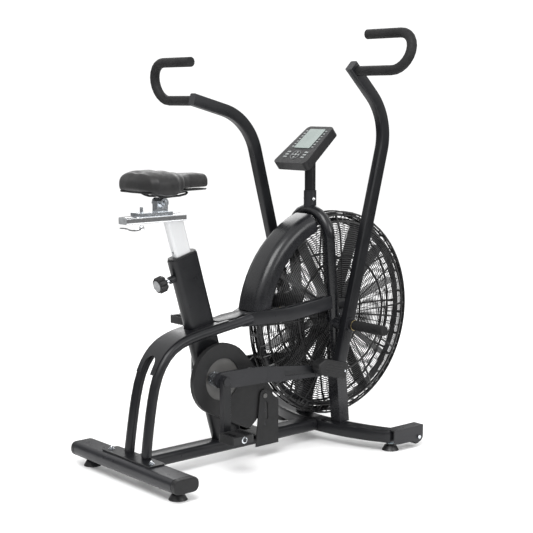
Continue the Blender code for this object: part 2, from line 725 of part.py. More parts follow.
GRILLE_RADII = (0.044, 0.056, 0.196, 0.202, 0.290, 0.325, 0.339, 0.346)
GRILLE_RINGS = (0, 2, 6)        # a ring lies between each of these radii and the next
GRILLE_SPOKES = 12
SPOKE_WIDTH = 1.2               # degrees
BAYS = 2                        # straight stretches of a ring between two spokes


def make_grille(name, side):
    """Domed lattice of rings and spokes, cut from one polar sheet."""
    bay = (360 / GRILLE_SPOKES - SPOKE_WIDTH) / BAYS
    angles = []
    for spoke in range(GRILLE_SPOKES):
        start = spoke * 360 / GRILLE_SPOKES
        angles.append((start, True))
        angles += [(start + SPOKE_WIDTH + bay * i, False) for i in range(BAYS)]
    sheet = bmesh.new()
    rows = []
    for angle, _ in angles:
        turn = math.radians(angle)
        rows.append([sheet.verts.new((r * math.cos(turn), side * grille_height(r), r * math.sin(turn)))
                     for r in GRILLE_RADII])
    for i, (_, is_spoke) in enumerate(angles):
        following = rows[(i + 1) % len(rows)]
        for k in range(len(GRILLE_RADII) - 1):
            if is_spoke or k in GRILLE_RINGS:
                corners = (rows[i][k], rows[i][k + 1], following[k + 1], following[k])
                sheet.faces.new(corners if side > 0 else corners[::-1])
    mesh = bpy.data.meshes.new(name)
    loose = [v for v in sheet.verts if not v.link_faces]
    bmesh.ops.delete(sheet, geom=loose, context="VERTS")
    sheet.to_mesh(mesh)
    sheet.free()
    grille = link_object(name, mesh, BLACK_PAINT)
    grille.location = (FAN_X, 0.0, FAN_Z)
    shell = grille.modifiers.new("wire", "SOLIDIFY")
    shell.thickness = 0.004
    shell.offset = 0.0


def make_rotor():
    """Fan wheel: hub, flat paddles, rim ring and the belt pulley on its left."""
    rotor = cross_rod("fan_rotor", 0.080, FAN_AT, (-0.018, 0.018), BLACK_PAINT, sides=28)
    neck = cross_rod("rotor_neck", 0.020, FAN_AT, (-0.040, 0.060), BLACK_PAINT)
    pulley = cross_rod("rotor_pulley", FAN_PULLEY_RADIUS, FAN_AT, FAN_BELT_Y, BLACK_PAINT, sides=28)
    rim = slab("rotor_rim", [circle(FAN_AT, ROTOR_RADIUS, 42), circle(FAN_AT, 0.316, 42)],
               (-0.005, 0.005), BLACK_PAINT)
    join(rotor, neck, pulley, rim)
    for i in range(PADDLES):
        paddle = box(f"paddle_{i}", (0.070, 0.320), (-0.027, 0.027), (-0.0012, 0.0012), BLACK_PAINT)
        paddle.location = (FAN_X, 0.0, FAN_Z)
        paddle.rotation_euler = (0.0, 2 * math.pi * (i + 0.35) / PADDLES, 0.0)
        join(rotor, paddle)
    cut(rotor, cross_rod("rotor_bore", 0.0086, FAN_AT, (-0.07, 0.09), ZINC, sides=20))


def make_fan_axle():
    """Fixed axle of the fan, held in the fork's dropouts."""
    cross_rod("fan_axle", 0.0080, FAN_AT, (-0.0840, 0.0840), ZINC, sides=20)


def make_shroud():
    """Rounded fender over the rear of the fan, from the yoke up to the fork."""
    half, outer, inner = SHROUD_HALF_WIDTH, SHROUD_RADIUS, SHROUD_INNER_RADIUS
    bend = 0.034
    right = [(inner, -half)] + [(outer - bend + bend * math.sin(a), -half + bend - bend * math.cos(a))
                                for a in (math.radians(d) for d in (0, 22.5, 45, 67.5, 90))]
    left = [(r, -y) for r, y in reversed(right)]
    shroud = turned("fan_shroud", left[::-1] + right[::-1], 12, BLACK_PAINT, (FAN_X, FAN_Z - SHROUD_DROP),
                    sweep=SHROUD_ARC[1] - SHROUD_ARC[0], start=-SHROUD_ARC[1], thickness=SHEET)
    below = box("shroud_foot_cut", (-0.20, 0.20), (-0.10, 0.10), (-0.20, YOKE_HEIGHT / 2 + GAP),
                BLACK_PAINT, YOKE_AXIS)
    cut(shroud, below)


# ---------------------------------------------------------------- drive
CRANK_AT = (CRANK_X, CRANK_Z)
JACK_AT = (JACK_X, JACK_Z)


def pin_place(side):
    """A link's crank pin, from the spindle, as the bike stands."""
    return (side * CRANK_THROW * math.cos(CRANK_TURN), -side * CRANK_THROW * math.sin(CRANK_TURN))


def make_crank():
    """Spindle with the throws and pins that carry the links, the pulley and the pedal arms."""
    axis = axis_empty("crank_axis", (CRANK_X, 0.0, CRANK_Z))
    spindle = cross_rod("crank_spindle", 0.0125, (0, 0), (-WEB_Y[0] - 0.004, WEB_Y[0] + 0.004), ZINC, axis)
    for name, side in SIDES:
        pin_at = pin_place(side)
        web = slab(f"crank_web_{name}", [around_two((0, 0), 0.0190, pin_at, 0.0240, 10)],
                   side_span(side, WEB_Y), BLACK_PAINT, parent=axis)
        boss = cross_rod(f"crank_boss_{name}", 0.0235, pin_at, side_span(side, BOSS_Y), BLACK_PAINT, axis,
                         sides=20)
        pin = cross_rod(f"crank_pin_{name}", PIN_RADIUS, pin_at,
                        side_span(side, (BOSS_Y[1] - 0.004, ARM_Y[0] - GAP)), ZINC, axis, sides=20)
        join(spindle, web, boss, pin)
        make_crank_arm(name, side, pin_at, axis)
    slab("crank_pulley", [circle((0, 0), CRANK_PULLEY_RADIUS, 48), circle((0, 0), 0.0129, 24)],
         (CRANK_BELT_Y[0] - 0.001, CRANK_BELT_Y[1] + 0.001), GREY_PLASTIC, parent=axis)
    slab("crank_housing", [circle(CRANK_AT, 0.022, 28), circle(CRANK_AT, 0.0131, 24)],
         (-0.034, 0.034), BLACK_PAINT)


def make_crank_arm(name, side, pin_at, axis):
    """Pedal arm from the link's pin to the pedal, with the pedal's axle."""
    pedal_at = (pin_at[0], pin_at[1] + side * CRANK_ARM)
    arm = slab(f"crank_arm_{name}", [around_two(pin_at, 0.0165, pedal_at, 0.0145, 14)],
               side_span(side, ARM_Y), BLACK_PAINT, parent=axis)
    soften(arm, 0.003, 1)
    cap = cross_rod(f"arm_cap_{name}", 0.0140, pin_at, side_span(side, (0.125, ARM_Y[1] + 0.0025)),
                    BLACK_PAINT, axis)
    axle = cross_rod(f"pedal_axle_{name}", 0.0070, pedal_at, side_span(side, (0.125, PEDAL_Y[1] + 0.003)),
                     ZINC, axis, sides=16)
    join(arm, cap, axle)
    make_pedal(name, side, (CRANK_X + pedal_at[0], CRANK_Z + pedal_at[1]))


def make_pedal(name, side, at):
    """Cage pedal turning on its axle."""
    axis = axis_empty(f"pedal_axis_{name}", (at[0], 0.0, at[1]))
    middle = side * sum(PEDAL_Y) / 2
    frame = [round_box((0.086, PEDAL_Y[1] - PEDAL_Y[0]), 0.012, (0.0, middle), 2)]
    for along in (-0.0260, 0.0260):
        frame.append(round_box((0.020, 0.054), 0.004, (along, middle), 1))
    pedal = slab(f"pedal_{name}", frame, (-0.012, 0.012), BLACK_PLASTIC, "XY", axis)
    barrel = cross_rod(f"pedal_barrel_{name}", 0.0130, (0, 0), side_span(side, PEDAL_Y), BLACK_PLASTIC,
                       axis, sides=16)
    bore = cross_rod(f"pedal_bore_{name}", 0.0075, (0, 0), side_span(side, (0.12, 0.24)), ZINC, axis,
                     sides=16)
    join(pedal, barrel)
    cut(pedal, bore)


def lever_joint():
    """Where a lever's foot takes its link, as (distance ahead, distance below) of the neutral pivot."""
    return LEVER_ARM * math.sin(LEVER_LEAN), LEVER_ARM * math.cos(LEVER_LEAN)


def link_span(side):
    """Length and downward slope of a link, from its crank pin to its lever's foot."""
    pin = pin_place(side)
    ahead, below = lever_joint()
    run = LEVER_X + side * ahead - CRANK_X - pin[0]
    drop = CRANK_Z + pin[1] - LEVER_Z + below
    return math.hypot(run, drop), math.atan2(drop, run)


def link_outline(length):
    """Side view of a link bar: big eye on the crank pin at the origin, small end at the lever."""
    points = arc((0, 0), 0.0265, 90, 270, 10)
    points += [(0.070, -0.0262), (0.170, -0.0225), (0.380, -0.0205)]
    points += arc((length, 0.0), 0.0170, -90, 90, 8)
    points += [(0.380, 0.0185), (0.270, 0.0262), (0.141, 0.0312), (0.060, 0.0290)]
    return points


def make_link(name, side):
    """Link bar from a crank pin to the bottom of a lever, cranked outward past the fork's leg."""
    length, slope = link_span(side)
    pin = pin_place(side)
    axis = axis_empty(f"link_axis_{name}", (CRANK_X + pin[0], 0.0, CRANK_Z + pin[1]), slope)
    holes = [circle((0, 0), PIN_RADIUS + 0.0005, 24), circle((length, 0), 0.0060, 12)]
    inner, outer = LINK_Y
    tip_inner, tip_outer = LINK_TIP_Y
    link = slab(f"link_bar_{name}", [link_outline(length), *holes],
                side_span(side, (inner - 0.004, tip_outer + 0.004)), BLACK_PAINT, parent=axis)
    plan = [(-0.040, side * inner), (0.185, side * inner), (0.235, side * tip_inner),
            (0.500, side * tip_inner), (0.500, side * tip_outer), (0.235, side * tip_outer),
            (0.185, side * outer), (-0.040, side * outer)]
    band = slab(f"link_plan_{name}", [plan], (-0.050, 0.050), BLACK_PAINT, plane="XY", parent=axis)
    combine(link, [band], "INTERSECT")
    recess = slab(f"link_recess_{name}", [around_two((0.255, 0.003), 0.0080, (0.372, 0.000), 0.0065, 12)],
                  side_span(side, (tip_outer - 0.0015, tip_outer + 0.002)), BLACK_PAINT, parent=axis)
    collar = slab(f"link_collar_{name}", [round_box((0.018, 0.044), 0.004, (0.395, 0.0), 1)],
                  side_span(side, (tip_inner - 0.0010, tip_outer + 0.0010)), BLACK_RUBBER, parent=axis)
    join(link, collar)
    cut(link, recess)


def make_belts():
    """Toothed crank belt on the right and fan belt on the left."""
    for name, first, first_r, second, second_r, span in (
            ("crank_belt", CRANK_AT, CRANK_PULLEY_RADIUS, JACK_AT, JACK_SMALL_RADIUS, CRANK_BELT_Y),
            ("fan_belt", JACK_AT, JACK_BIG_RADIUS, FAN_AT, FAN_PULLEY_RADIUS, FAN_BELT_Y)):
        grow = BELT_GAP + BELT_THICKNESS
        outer = around_two(first, first_r + grow, second, second_r + grow, 20)
        inner = around_two(first, first_r + BELT_GAP, second, second_r + BELT_GAP, 20)
        slab(name, [outer, inner], span, BLACK_RUBBER)


def make_jackshaft():
    """Intermediate shaft with a small pulley on the right and a big one on the left."""
    axis = axis_empty("jackshaft_axis", (JACK_X, 0.0, JACK_Z))
    shaft = cross_rod("jackshaft", 0.0080, (0, 0), (-0.0730, 0.0800), ZINC, axis, sides=20)
    small = cross_rod("jackshaft_small_pulley", JACK_SMALL_RADIUS, (0, 0),
                      (CRANK_BELT_Y[0] - 0.0005, CRANK_BELT_Y[1] + 0.0005), GREY_PLASTIC, axis)
    big = cross_rod("jackshaft_big_pulley", JACK_BIG_RADIUS, (0, 0),
                    (FAN_BELT_Y[0] + 0.0002, FAN_BELT_Y[1] - 0.0002), GREY_PLASTIC, axis, sides=36)
    join(shaft, small, big)


def make_jackshaft_bracket():
    """U bracket on the base rail that carries the intermediate shaft."""
    top = (JACK_X, JACK_Z)
    right_view = [(-0.0355, 0.0420), (0.0625, 0.0420), (0.0625, 0.1880), (0.0300, 0.2170)]
    right_view += arc(top, 0.0210, 50, 170, 8)
    left_view = [(-0.0300, 0.0770), (0.0400, 0.0770)] + arc(top, 0.0210, 0, 180, 8)
    bracket = slab("jackshaft_bracket", [right_view], (-0.0700, -0.0660), BLACK_PAINT)
    left = slab("jackshaft_bracket_left", [left_view], (0.0735, 0.0775), BLACK_PAINT)
    base = box("jackshaft_bracket_base", (-0.0300, 0.0400), (-0.0680, 0.0755), (RAIL_Z[1] + GAP, 0.0823),
               BLACK_PAINT)
    window = slab("jackshaft_bracket_slot", [around_two((0.0090, 0.1830), 0.006, (0.0120, 0.1350), 0.006, 12)],
                  (-0.080, -0.060), BLACK_PAINT)
    bore = cross_rod("jackshaft_bracket_bore", 0.0086, top, (-0.12, 0.09), ZINC, sides=20)
    join(bracket, left, base)
    cut(bracket, window, bore)


def guard_outline(shrink=0.0):
    """Side view of the belt guard: round over the pulley, with a corner below the jackshaft."""
    points = arc(CRANK_AT, GUARD_RADIUS - shrink, 42, 245, 20)
    points += arc(GUARD_CORNER, 0.0200 - shrink, 245, 311, 4)
    points += arc(JACK_AT, GUARD_LOBE_RADIUS - shrink, -49, 42, 6)
    return points


def make_belt_guard():
    """Open-backed cover over the crank belt, on two stand-offs from the seat tube."""
    openings = [circle(CRANK_AT, GUARD_WINDOW_RADIUS, 40), circle(JACK_AT, 0.0095, 20)]
    guard = slab("belt_guard", [guard_outline(0.0004), *openings], (GUARD_Y[0], GUARD_Y[0] + SHEET),
                 BLACK_PLASTIC)
    rim = slab("belt_guard_rim", [guard_outline(), guard_outline(SHEET)],
               (GUARD_Y[0] + 0.0006, GUARD_Y[1]), BLACK_PLASTIC)
    join(guard, rim)
    stays = [cross_rod(f"guard_stay_{i}", 0.0060, at,
                       (GUARD_Y[0] + 0.001, -SEAT_TUBE_SIZE[1] / 2 - GAP), BLACK_PLASTIC, sides=12)
             for i, at in enumerate(((-0.0900, 0.1480), (-0.1500, 0.1690)))]
    join(guard, *stays)


# ---------------------------------------------------------------- levers, grips and pegs
def lever_outline():
    """Side view of a handle lever, upright in its own frame with the pivot at the origin."""
    half = LEVER_DEPTH / 2
    center = (-LEVER_BEND_RADIUS, LEVER_STRAIGHT)
    bend = math.degrees(LEVER_BEND)
    along = Vector((-math.sin(LEVER_BEND), math.cos(LEVER_BEND))) * LEVER_TAIL
    front = [(half, -LEVER_ARM - 0.008)] + arc(center, LEVER_BEND_RADIUS + half, 0, bend, 10)
    rear = arc(center, LEVER_BEND_RADIUS - half, bend, 0, 10) + [(-half, -LEVER_ARM - 0.008)]
    tip = [tuple(Vector(front[-1]) + along), tuple(Vector(rear[0]) + along)]
    return front + tip + rear


def make_lever(name, side):
    """Handle lever with its grip and the cover over its lower joint."""
    axis = axis_empty(f"lever_axis_{name}", (LEVER_X, 0.0, LEVER_Z), -side * LEVER_LEAN)
    lever = slab(f"handle_lever_{name}", [lever_outline(), circle((0, 0), 0.0106, 20)],
                 side_span(side, LEVER_Y), BLACK_PAINT, parent=axis)
    soften(lever, 0.005, 2, 60)
    cut(lever, cross_rod(f"grip_seat_{name}", GRIP_RADIUS + GAP, GRIP_LOWER,
                         side_span(side, (LEVER_Y[1] - 0.004, 0.200)), BLACK_PAINT, axis))
    make_grip(name, side, axis)
    make_joint_cover(name, side, axis)
    pivot = cross_rod(f"lever_axle_{name}", 0.0100, (0, 0), side_span(side, (LEVER_Y[0], 0.1650)), ZINC,
                      axis, sides=20)
    head = cross_rod(f"lever_axle_head_{name}", 0.0230, (0, 0),
                     side_span(side, (LEVER_Y[1] + GAP, PEG_Y[0] - GAP)), BLACK_PAINT, axis, sides=28)
    join(pivot, head)
    peg = cross_rod(f"foot_peg_{name}", 0.0165, (0, 0), side_span(side, PEG_Y), BLACK_RUBBER, axis,
                    sides=24)
    soften(peg, 0.002, 1)


def grip_path(side):
    """Centre line of a C grip: out along the lower bar, round, and back along the upper bar."""
    mid_x = (GRIP_LOWER[0] + GRIP_UPPER[0]) / 2
    mid_z = (GRIP_LOWER[1] + GRIP_UPPER[1]) / 2
    rise = (GRIP_UPPER[1] - GRIP_LOWER[1]) / 2
    lean = (GRIP_UPPER[0] - GRIP_LOWER[0]) / 2
    points = [(GRIP_LOWER[0], side * (LEVER_Y[1] - 0.0035), GRIP_LOWER[1])]
    for u, v in arc((GRIP_BEND_Y, 0.0), rise, -90, 90, 12):
        points.append((mid_x + lean * v / rise, side * u, mid_z + v))
    points.append((GRIP_UPPER[0], side * GRIP_END_Y, GRIP_UPPER[1]))
    return points


def make_grip(name, side, axis):
    """Foam-covered C grip on the lever's tip."""
    tube(f"grip_{name}", grip_path(side), GRIP_RADIUS, BLACK_RUBBER, axis, sides=14, smooth=1)


def make_joint_cover(name, side, axis):
    """Plastic cover over the lever's foot, where the link joins it."""
    outline = [(0.0245, -0.1835), (0.0245, -0.1280), (-0.0855, -0.1280), (-0.1127, -0.1530),
               (-0.1080, -0.1640), (-0.0855, -0.1835)]
    cover = slab(f"joint_cover_{name}", [outline], side_span(side, (0.1285, 0.1710)), BLACK_PLASTIC,
                 parent=axis)
    soften(cover, 0.003, 1)
    half = LEVER_DEPTH / 2 + 0.0005
    pocket = box(f"cover_pocket_{name}", (-half, half), side_span(side, (LEVER_Y[0] - 0.0005, LEVER_Y[1] + 0.0005)),
                 (-LEVER_ARM - 0.0085, -0.100), BLACK_PLASTIC, axis)
    cut(cover, pocket)


# ---------------------------------------------------------------- seat
def make_seat_post():
    """Oval post with the height holes in its rear face."""
    post = seat_bar("seat_post", SEAT_POST_SIZE, 0.008, (SEAT_POST_BOTTOM, SEAT_POST_TOP + 0.030),
                    0.0, SILVER)
    holes = [rod(f"post_hole_{i}", 0.0045, (-0.035, 0, z), (-0.022, 0, z), SILVER, SEAT_AXIS, sides=12)
             for i, z in enumerate((0.020, -0.018, -0.057, -0.096, -0.135))]
    level = box("post_top_cut", (-0.50, -0.20), (-0.05, 0.05), (SLIDER_Z[0] - GAP, 0.90), SILVER)
    cut(post, *holes, level)


def make_slider():
    """Fore-aft slide: the rail on the post, and the carriage with its clamp."""
    rail = slab("seat_slide_rail", [round_box((0.042, SLIDER_Z[1] - SLIDER_Z[0]), 0.004,
                                              (0.0, sum(SLIDER_Z) / 2))],
                SLIDER_X, ZINC, plane="YZ")
    plate_z = (SLIDER_Z[1] + GAP, 0.8320)
    carriage = box("seat_carriage", CARRIAGE_X, (-0.0250, 0.0250), plate_z, ZINC)
    tower = box("carriage_tower", (-0.3800, -0.3400), (-0.0130, 0.0130), (0.8310, 0.8650), ZINC)
    knuckle = cross_rod("carriage_knuckle", 0.0145, SADDLE_PIVOT, (-0.0250, 0.0250), ZINC)
    stud = rod("carriage_stud", 0.0050, (-0.4300, 0, 0.8300), (-0.4300, 0, 0.8490), ZINC, sides=12)
    join(carriage, tower, knuckle, stud)
    bolt = rod("slide_clamp_lever", 0.0080, (-0.4300, 0, 0.7780), (-0.4300, 0, SLIDER_Z[0] - GAP), ZINC)
    handle = box("slide_clamp_handle", (-0.5080, -0.4280), (-0.0070, 0.0070), (0.7800, 0.7860), ZINC)
    join(bolt, handle)
    return rail


def saddle_outline():
    """Plan of the saddle, broad at the back and narrow at the nose."""
    rear, nose = SADDLE_X
    stations = ((0.00, 0.045), (0.04, 0.085), (0.14, 0.106), (0.30, 0.104), (0.45, 0.080),
                (0.58, 0.052), (0.72, 0.034), (0.88, 0.028), (0.97, 0.018), (1.00, 0.006))
    right = [(rear + (nose - rear) * t, -w) for t, w in stations]
    left = [(x, -y) for x, y in reversed(right)]
    return right + left


def make_saddle():
    """Padded saddle, its wire rails and the screwed height pin."""
    saddle = slab("saddle", [saddle_outline()], SADDLE_Z, SADDLE_SKIN, plane="XY")
    soften(saddle, 0.016, 2, 60)
    wire_z = 0.8790
    loop = [(-0.405, 0.034, wire_z + 0.010), (-0.380, 0.031, wire_z), (-0.340, 0.030, wire_z),
            (-0.280, 0.024, wire_z + 0.004), (-0.262, 0.0, wire_z + 0.010)]
    loop += [(x, -y, z) for x, y, z in reversed(loop[:-1])]
    loop.append((-0.412, 0.0, wire_z + 0.0115))
    tube("saddle_rails", loop, 0.0035, ZINC, sides=8, smooth=2, closed=True)
    pin = rod("height_pin", 0.0050, (-0.0312, 0, -0.057), (-0.0900, 0, -0.057), ZINC, SEAT_AXIS, sides=16)
    knob = rod("height_pin_knob", 0.0260, (-0.0880, 0, -0.057), (-0.1180, 0, -0.057), BLACK_PLASTIC,
               SEAT_AXIS, sides=20)
    join(pin, knob)


# ---------------------------------------------------------------- assembly
def centre_length():
    """Move everything from the drawing's datum to the bike's middle."""
    for collection in (PARTS, GUIDES):
        for obj in collection.objects:
            if obj.parent is None:
                obj.location.x += DATUM_X


YOKE_AXIS = axis_empty("yoke_axis", (0.0, 0.0, YOKE_AT), -YOKE_TILT)
SEAT_AXIS = axis_empty("seat_axis", (SEAT_TUBE_TOP[0], 0.0, SEAT_TUBE_TOP[1]), -SEAT_TILT)
CONSOLE_AXIS = axis_empty("console_axis", (CONSOLE_AT[0], 0.0, CONSOLE_AT[1]), -CONSOLE_TILT)


def build():
    """Make every piece."""
    make_rear_stabilizer()
    make_front_stabilizer()
    make_base_rail()
    make_mount_plate()
    make_arch()
    make_seat_tube()
    make_yoke()
    make_fork()
    make_mast()
    make_console()
    make_cage_band()
    make_rotor()
    make_fan_axle()
    make_shroud()
    make_crank()
    make_belts()
    make_jackshaft()
    make_jackshaft_bracket()
    make_belt_guard()
    make_seat_post()
    make_slider()
    make_saddle()
    for name, side in SIDES:
        make_foot(f"rear_{name}", (REAR_FOOT[0], side * REAR_FOOT[1]))
        make_foot(f"front_{name}", (FRONT_FOOT[0], side * FRONT_FOOT[1]))
        make_wheel(name, side)
        make_grille(f"fan_grille_{name}", side)
        make_link(name, side)
        make_lever(name, side)
    centre_length()


build()
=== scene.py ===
"""Looks of the air bike: finishes for the CAD pieces, and the fine detail round them."""

import math

import bmesh
import bpy
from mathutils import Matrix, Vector


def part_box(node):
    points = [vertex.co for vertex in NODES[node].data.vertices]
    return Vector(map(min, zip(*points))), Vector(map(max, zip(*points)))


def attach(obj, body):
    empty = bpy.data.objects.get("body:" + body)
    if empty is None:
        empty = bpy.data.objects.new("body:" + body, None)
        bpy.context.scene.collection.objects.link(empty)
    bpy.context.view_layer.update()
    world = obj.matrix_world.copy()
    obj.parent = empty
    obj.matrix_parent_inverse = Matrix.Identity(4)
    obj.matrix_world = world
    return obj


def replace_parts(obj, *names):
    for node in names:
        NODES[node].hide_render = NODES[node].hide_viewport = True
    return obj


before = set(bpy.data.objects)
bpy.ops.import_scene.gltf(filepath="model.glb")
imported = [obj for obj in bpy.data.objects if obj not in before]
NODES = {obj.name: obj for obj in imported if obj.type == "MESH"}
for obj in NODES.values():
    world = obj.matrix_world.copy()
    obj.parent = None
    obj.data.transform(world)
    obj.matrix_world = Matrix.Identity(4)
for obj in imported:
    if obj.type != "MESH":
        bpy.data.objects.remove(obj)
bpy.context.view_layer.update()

SIDES = (("right", -1), ("left", 1))

FAN = Vector((0.2675, 0.0, 0.4390))
SEAT_TOP = Vector((-0.3765, 0.0, 0.6880))
SEAT_LEAN = math.radians(16.1)
CONSOLE_AT = Vector((0.1420, 0.0, 1.0230))
CONSOLE_TILT = math.radians(38.4)


# ---------------------------------------------------------------- materials
def link(tree, a, b):
    tree.links.new(a, b)


def noise(tree, coords, scale, detail=3.0, stretch=None):
    """Noise on the piece's own coordinates, stretched along an axis if asked."""
    source = coords
    if stretch:
        mapping = tree.nodes.new("ShaderNodeMapping")
        mapping.inputs["Scale"].default_value = stretch
        link(tree, coords, mapping.inputs["Vector"])
        source = mapping.outputs["Vector"]
    node = tree.nodes.new("ShaderNodeTexNoise")
    node.inputs["Scale"].default_value = scale
    node.inputs["Detail"].default_value = detail
    link(tree, source, node.inputs["Vector"])
    return node.outputs["Fac"]


def spread(tree, value, low, high):
    """Maps the middle of a noise onto a range."""
    node = tree.nodes.new("ShaderNodeMapRange")
    node.inputs["From Min"].default_value = 0.3
    node.inputs["From Max"].default_value = 0.7
    node.inputs["To Min"].default_value = low
    node.inputs["To Max"].default_value = high
    link(tree, value, node.inputs["Value"])
    return node.outputs["Result"]


def two_tone(tree, factor, first, second):
    node = tree.nodes.new("ShaderNodeMix")
    node.data_type = "RGBA"
    for socket, colour in ((6, first), (7, second)):
        if isinstance(colour, bpy.types.NodeSocket):
            link(tree, colour, node.inputs[socket])
        else:
            node.inputs[socket].default_value = (*colour, 1.0)
    link(tree, factor, node.inputs[0])
    return node.outputs[2]


def bump(tree, height, strength, distance, below=None):
    node = tree.nodes.new("ShaderNodeBump")
    node.inputs["Strength"].default_value = strength
    node.inputs["Distance"].default_value = distance
    link(tree, height, node.inputs["Height"])
    if below is not None:
        link(tree, below, node.inputs["Normal"])
    return node.outputs["Normal"]


def lighten_edges(tree, colour, lighter, amount):
    """Lightens convex edges a little."""
    geometry = tree.nodes.new("ShaderNodeNewGeometry")
    ramp = tree.nodes.new("ShaderNodeMapRange")
    ramp.inputs["From Min"].default_value = 0.52
    ramp.inputs["From Max"].default_value = 0.62
    ramp.inputs["To Max"].default_value = amount
    link(tree, geometry.outputs["Pointiness"], ramp.inputs["Value"])
    return two_tone(tree, ramp.outputs["Result"], colour, lighter)


def finish_of(name, dark, light, rough, metallic=0.0, mottle=9.0, grain=(900.0, 0.25, 0.0003), coat=0.0,
              stretch=None, paler_edges=None, pattern=None, specular=0.5):
    """A procedural finish: mottled colour, uneven gloss, surface grain and lighter convex edges."""
    material = bpy.data.materials.new(name)
    material.use_nodes = True
    tree = material.node_tree
    shader = tree.nodes["Principled BSDF"]
    coords = tree.nodes.new("ShaderNodeTexCoord").outputs["Object"]
    broad = noise(tree, coords, mottle, 4.0, stretch)
    colour = two_tone(tree, spread(tree, broad, 0.0, 1.0), dark, light)
    # Convex edges are given a lighter colour.
    if paler_edges:
        colour = lighten_edges(tree, colour, paler_edges[0], paler_edges[1])
    if pattern:
        colour = pattern(tree, coords, colour)
    link(tree, colour, shader.inputs["Base Color"])
    streaks = noise(tree, coords, mottle * 5, 5.0, stretch)
    link(tree, spread(tree, streaks, rough[0], rough[1]), shader.inputs["Roughness"])
    shader.inputs["Metallic"].default_value = metallic
    shader.inputs["Coat Weight"].default_value = coat
    shader.inputs["Specular IOR Level"].default_value = specular
    shader.inputs["Coat Roughness"].default_value = 0.25
    fine = noise(tree, coords, grain[0], 2.0, stretch)
    link(tree, bump(tree, fine, grain[1], grain[2]), shader.inputs["Normal"])
    return material


def leather(name):
    """Soft black skin: small cells over broad wrinkles."""
    material = finish_of(name, (0.0065, 0.0065, 0.0070), (0.0120, 0.0115, 0.0115), (0.42, 0.56),
                         mottle=16.0, specular=0.35)
    tree = material.node_tree
    shader = tree.nodes["Principled BSDF"]
    coords = tree.nodes.new("ShaderNodeTexCoord").outputs["Object"]
    cells = tree.nodes.new("ShaderNodeTexVoronoi")
    cells.feature = "DISTANCE_TO_EDGE"
    cells.inputs["Scale"].default_value = 620.0
    link(tree, coords, cells.inputs["Vector"])
    low = bump(tree, noise(tree, coords, 38.0, 3.0), 0.10, 0.0012)
    link(tree, bump(tree, cells.outputs["Distance"], 0.35, 0.0006, low), shader.inputs["Normal"])
    shader.inputs["Sheen Weight"].default_value = 0.06
    shader.inputs["Sheen Roughness"].default_value = 0.45
    return material


def height_split(level, above, softness=0.0006):
    """A pattern that changes to another colour above a height."""
    def apply(tree, coords, colour):
        parts = tree.nodes.new("ShaderNodeSeparateXYZ")
        link(tree, coords, parts.inputs["Vector"])
        ramp = tree.nodes.new("ShaderNodeMapRange")
        ramp.inputs["From Min"].default_value = level
        ramp.inputs["From Max"].default_value = level + softness
        link(tree, parts.outputs["Z"], ramp.inputs["Value"])
        return two_tone(tree, ramp.outputs["Result"], colour, above)
    return apply


def display(tree, coords, colour):
    """A brick pattern on the display glass. At this scale the glass comes out almost plain."""
    mapping = tree.nodes.new("ShaderNodeMapping")
    mapping.inputs["Rotation"].default_value = (0.0, CONSOLE_TILT, math.radians(90))
    link(tree, coords, mapping.inputs["Vector"])
    bricks = tree.nodes.new("ShaderNodeTexBrick")
    bricks.inputs["Scale"].default_value = 55.0
    bricks.inputs["Mortar Size"].default_value = 0.16
    bricks.inputs["Mortar Smooth"].default_value = 0.1
    bricks.inputs["Color1"].default_value = (0.0, 0.0, 0.0, 1.0)
    bricks.inputs["Color2"].default_value = (1.0, 1.0, 1.0, 1.0)
    bricks.inputs["Mortar"].default_value = (1.0, 1.0, 1.0, 1.0)
    link(tree, mapping.outputs["Vector"], bricks.inputs["Vector"])
    return two_tone(tree, bricks.outputs["Color"], (0.07, 0.09, 0.088), colour)


PAINT = finish_of("satin_paint", (0.0045, 0.0048, 0.0058), (0.0075, 0.0078, 0.0090), (0.27, 0.36),
                  mottle=7.0, grain=(1100.0, 0.12, 0.0002), paler_edges=((0.04, 0.04, 0.045), 0.3),
                  specular=0.30)
GLOSS_PAINT = finish_of("gloss_paint", (0.0045, 0.0048, 0.0058), (0.0070, 0.0073, 0.0085), (0.22, 0.30),
                        mottle=7.0, grain=(700.0, 0.08, 0.0002), paler_edges=((0.04, 0.04, 0.045), 0.25),
                        specular=0.40)
PLATE = finish_of("moulded_plate", (0.0085, 0.0085, 0.0090), (0.0125, 0.0125, 0.0130), (0.46, 0.58),
                  mottle=12.0, grain=(1500.0, 0.35, 0.0003), paler_edges=((0.05, 0.05, 0.05), 0.3),
                  specular=0.28)
PLASTIC = finish_of("grained_plastic", (0.0060, 0.0060, 0.0068), (0.0095, 0.0095, 0.0102), (0.38, 0.50),
                    mottle=18.0, grain=(1400.0, 0.4, 0.0004), paler_edges=((0.04, 0.04, 0.04), 0.3),
                    specular=0.28)
WIRE = finish_of("coated_wire", (0.0030, 0.0030, 0.0035), (0.0060, 0.0060, 0.0065), (0.30, 0.42),
                 mottle=20.0, grain=(900.0, 0.1, 0.0002))
RUBBER = finish_of("foam_rubber", (0.0055, 0.0055, 0.0060), (0.0095, 0.0095, 0.0100), (0.55, 0.75),
                   mottle=30.0, grain=(1800.0, 0.5, 0.0005), specular=0.28)
BELT = finish_of("belt_rubber", (0.010, 0.010, 0.010), (0.018, 0.018, 0.018), (0.6, 0.75),
                 mottle=40.0, grain=(1300.0, 0.4, 0.0004))
SILVER = finish_of("silver_tube", (0.36, 0.37, 0.38), (0.43, 0.44, 0.45), (0.30, 0.42), 0.25,
                   mottle=10.0, grain=(500.0, 0.10, 0.0002), stretch=(1.0, 1.0, 0.15),
                   paler_edges=((0.95, 0.95, 0.95), 0.3))
ZINC = finish_of("zinc_plate", (0.58, 0.61, 0.65), (0.72, 0.75, 0.78), (0.18, 0.28), 1.0,
                 mottle=30.0, grain=(600.0, 0.05, 0.0002))
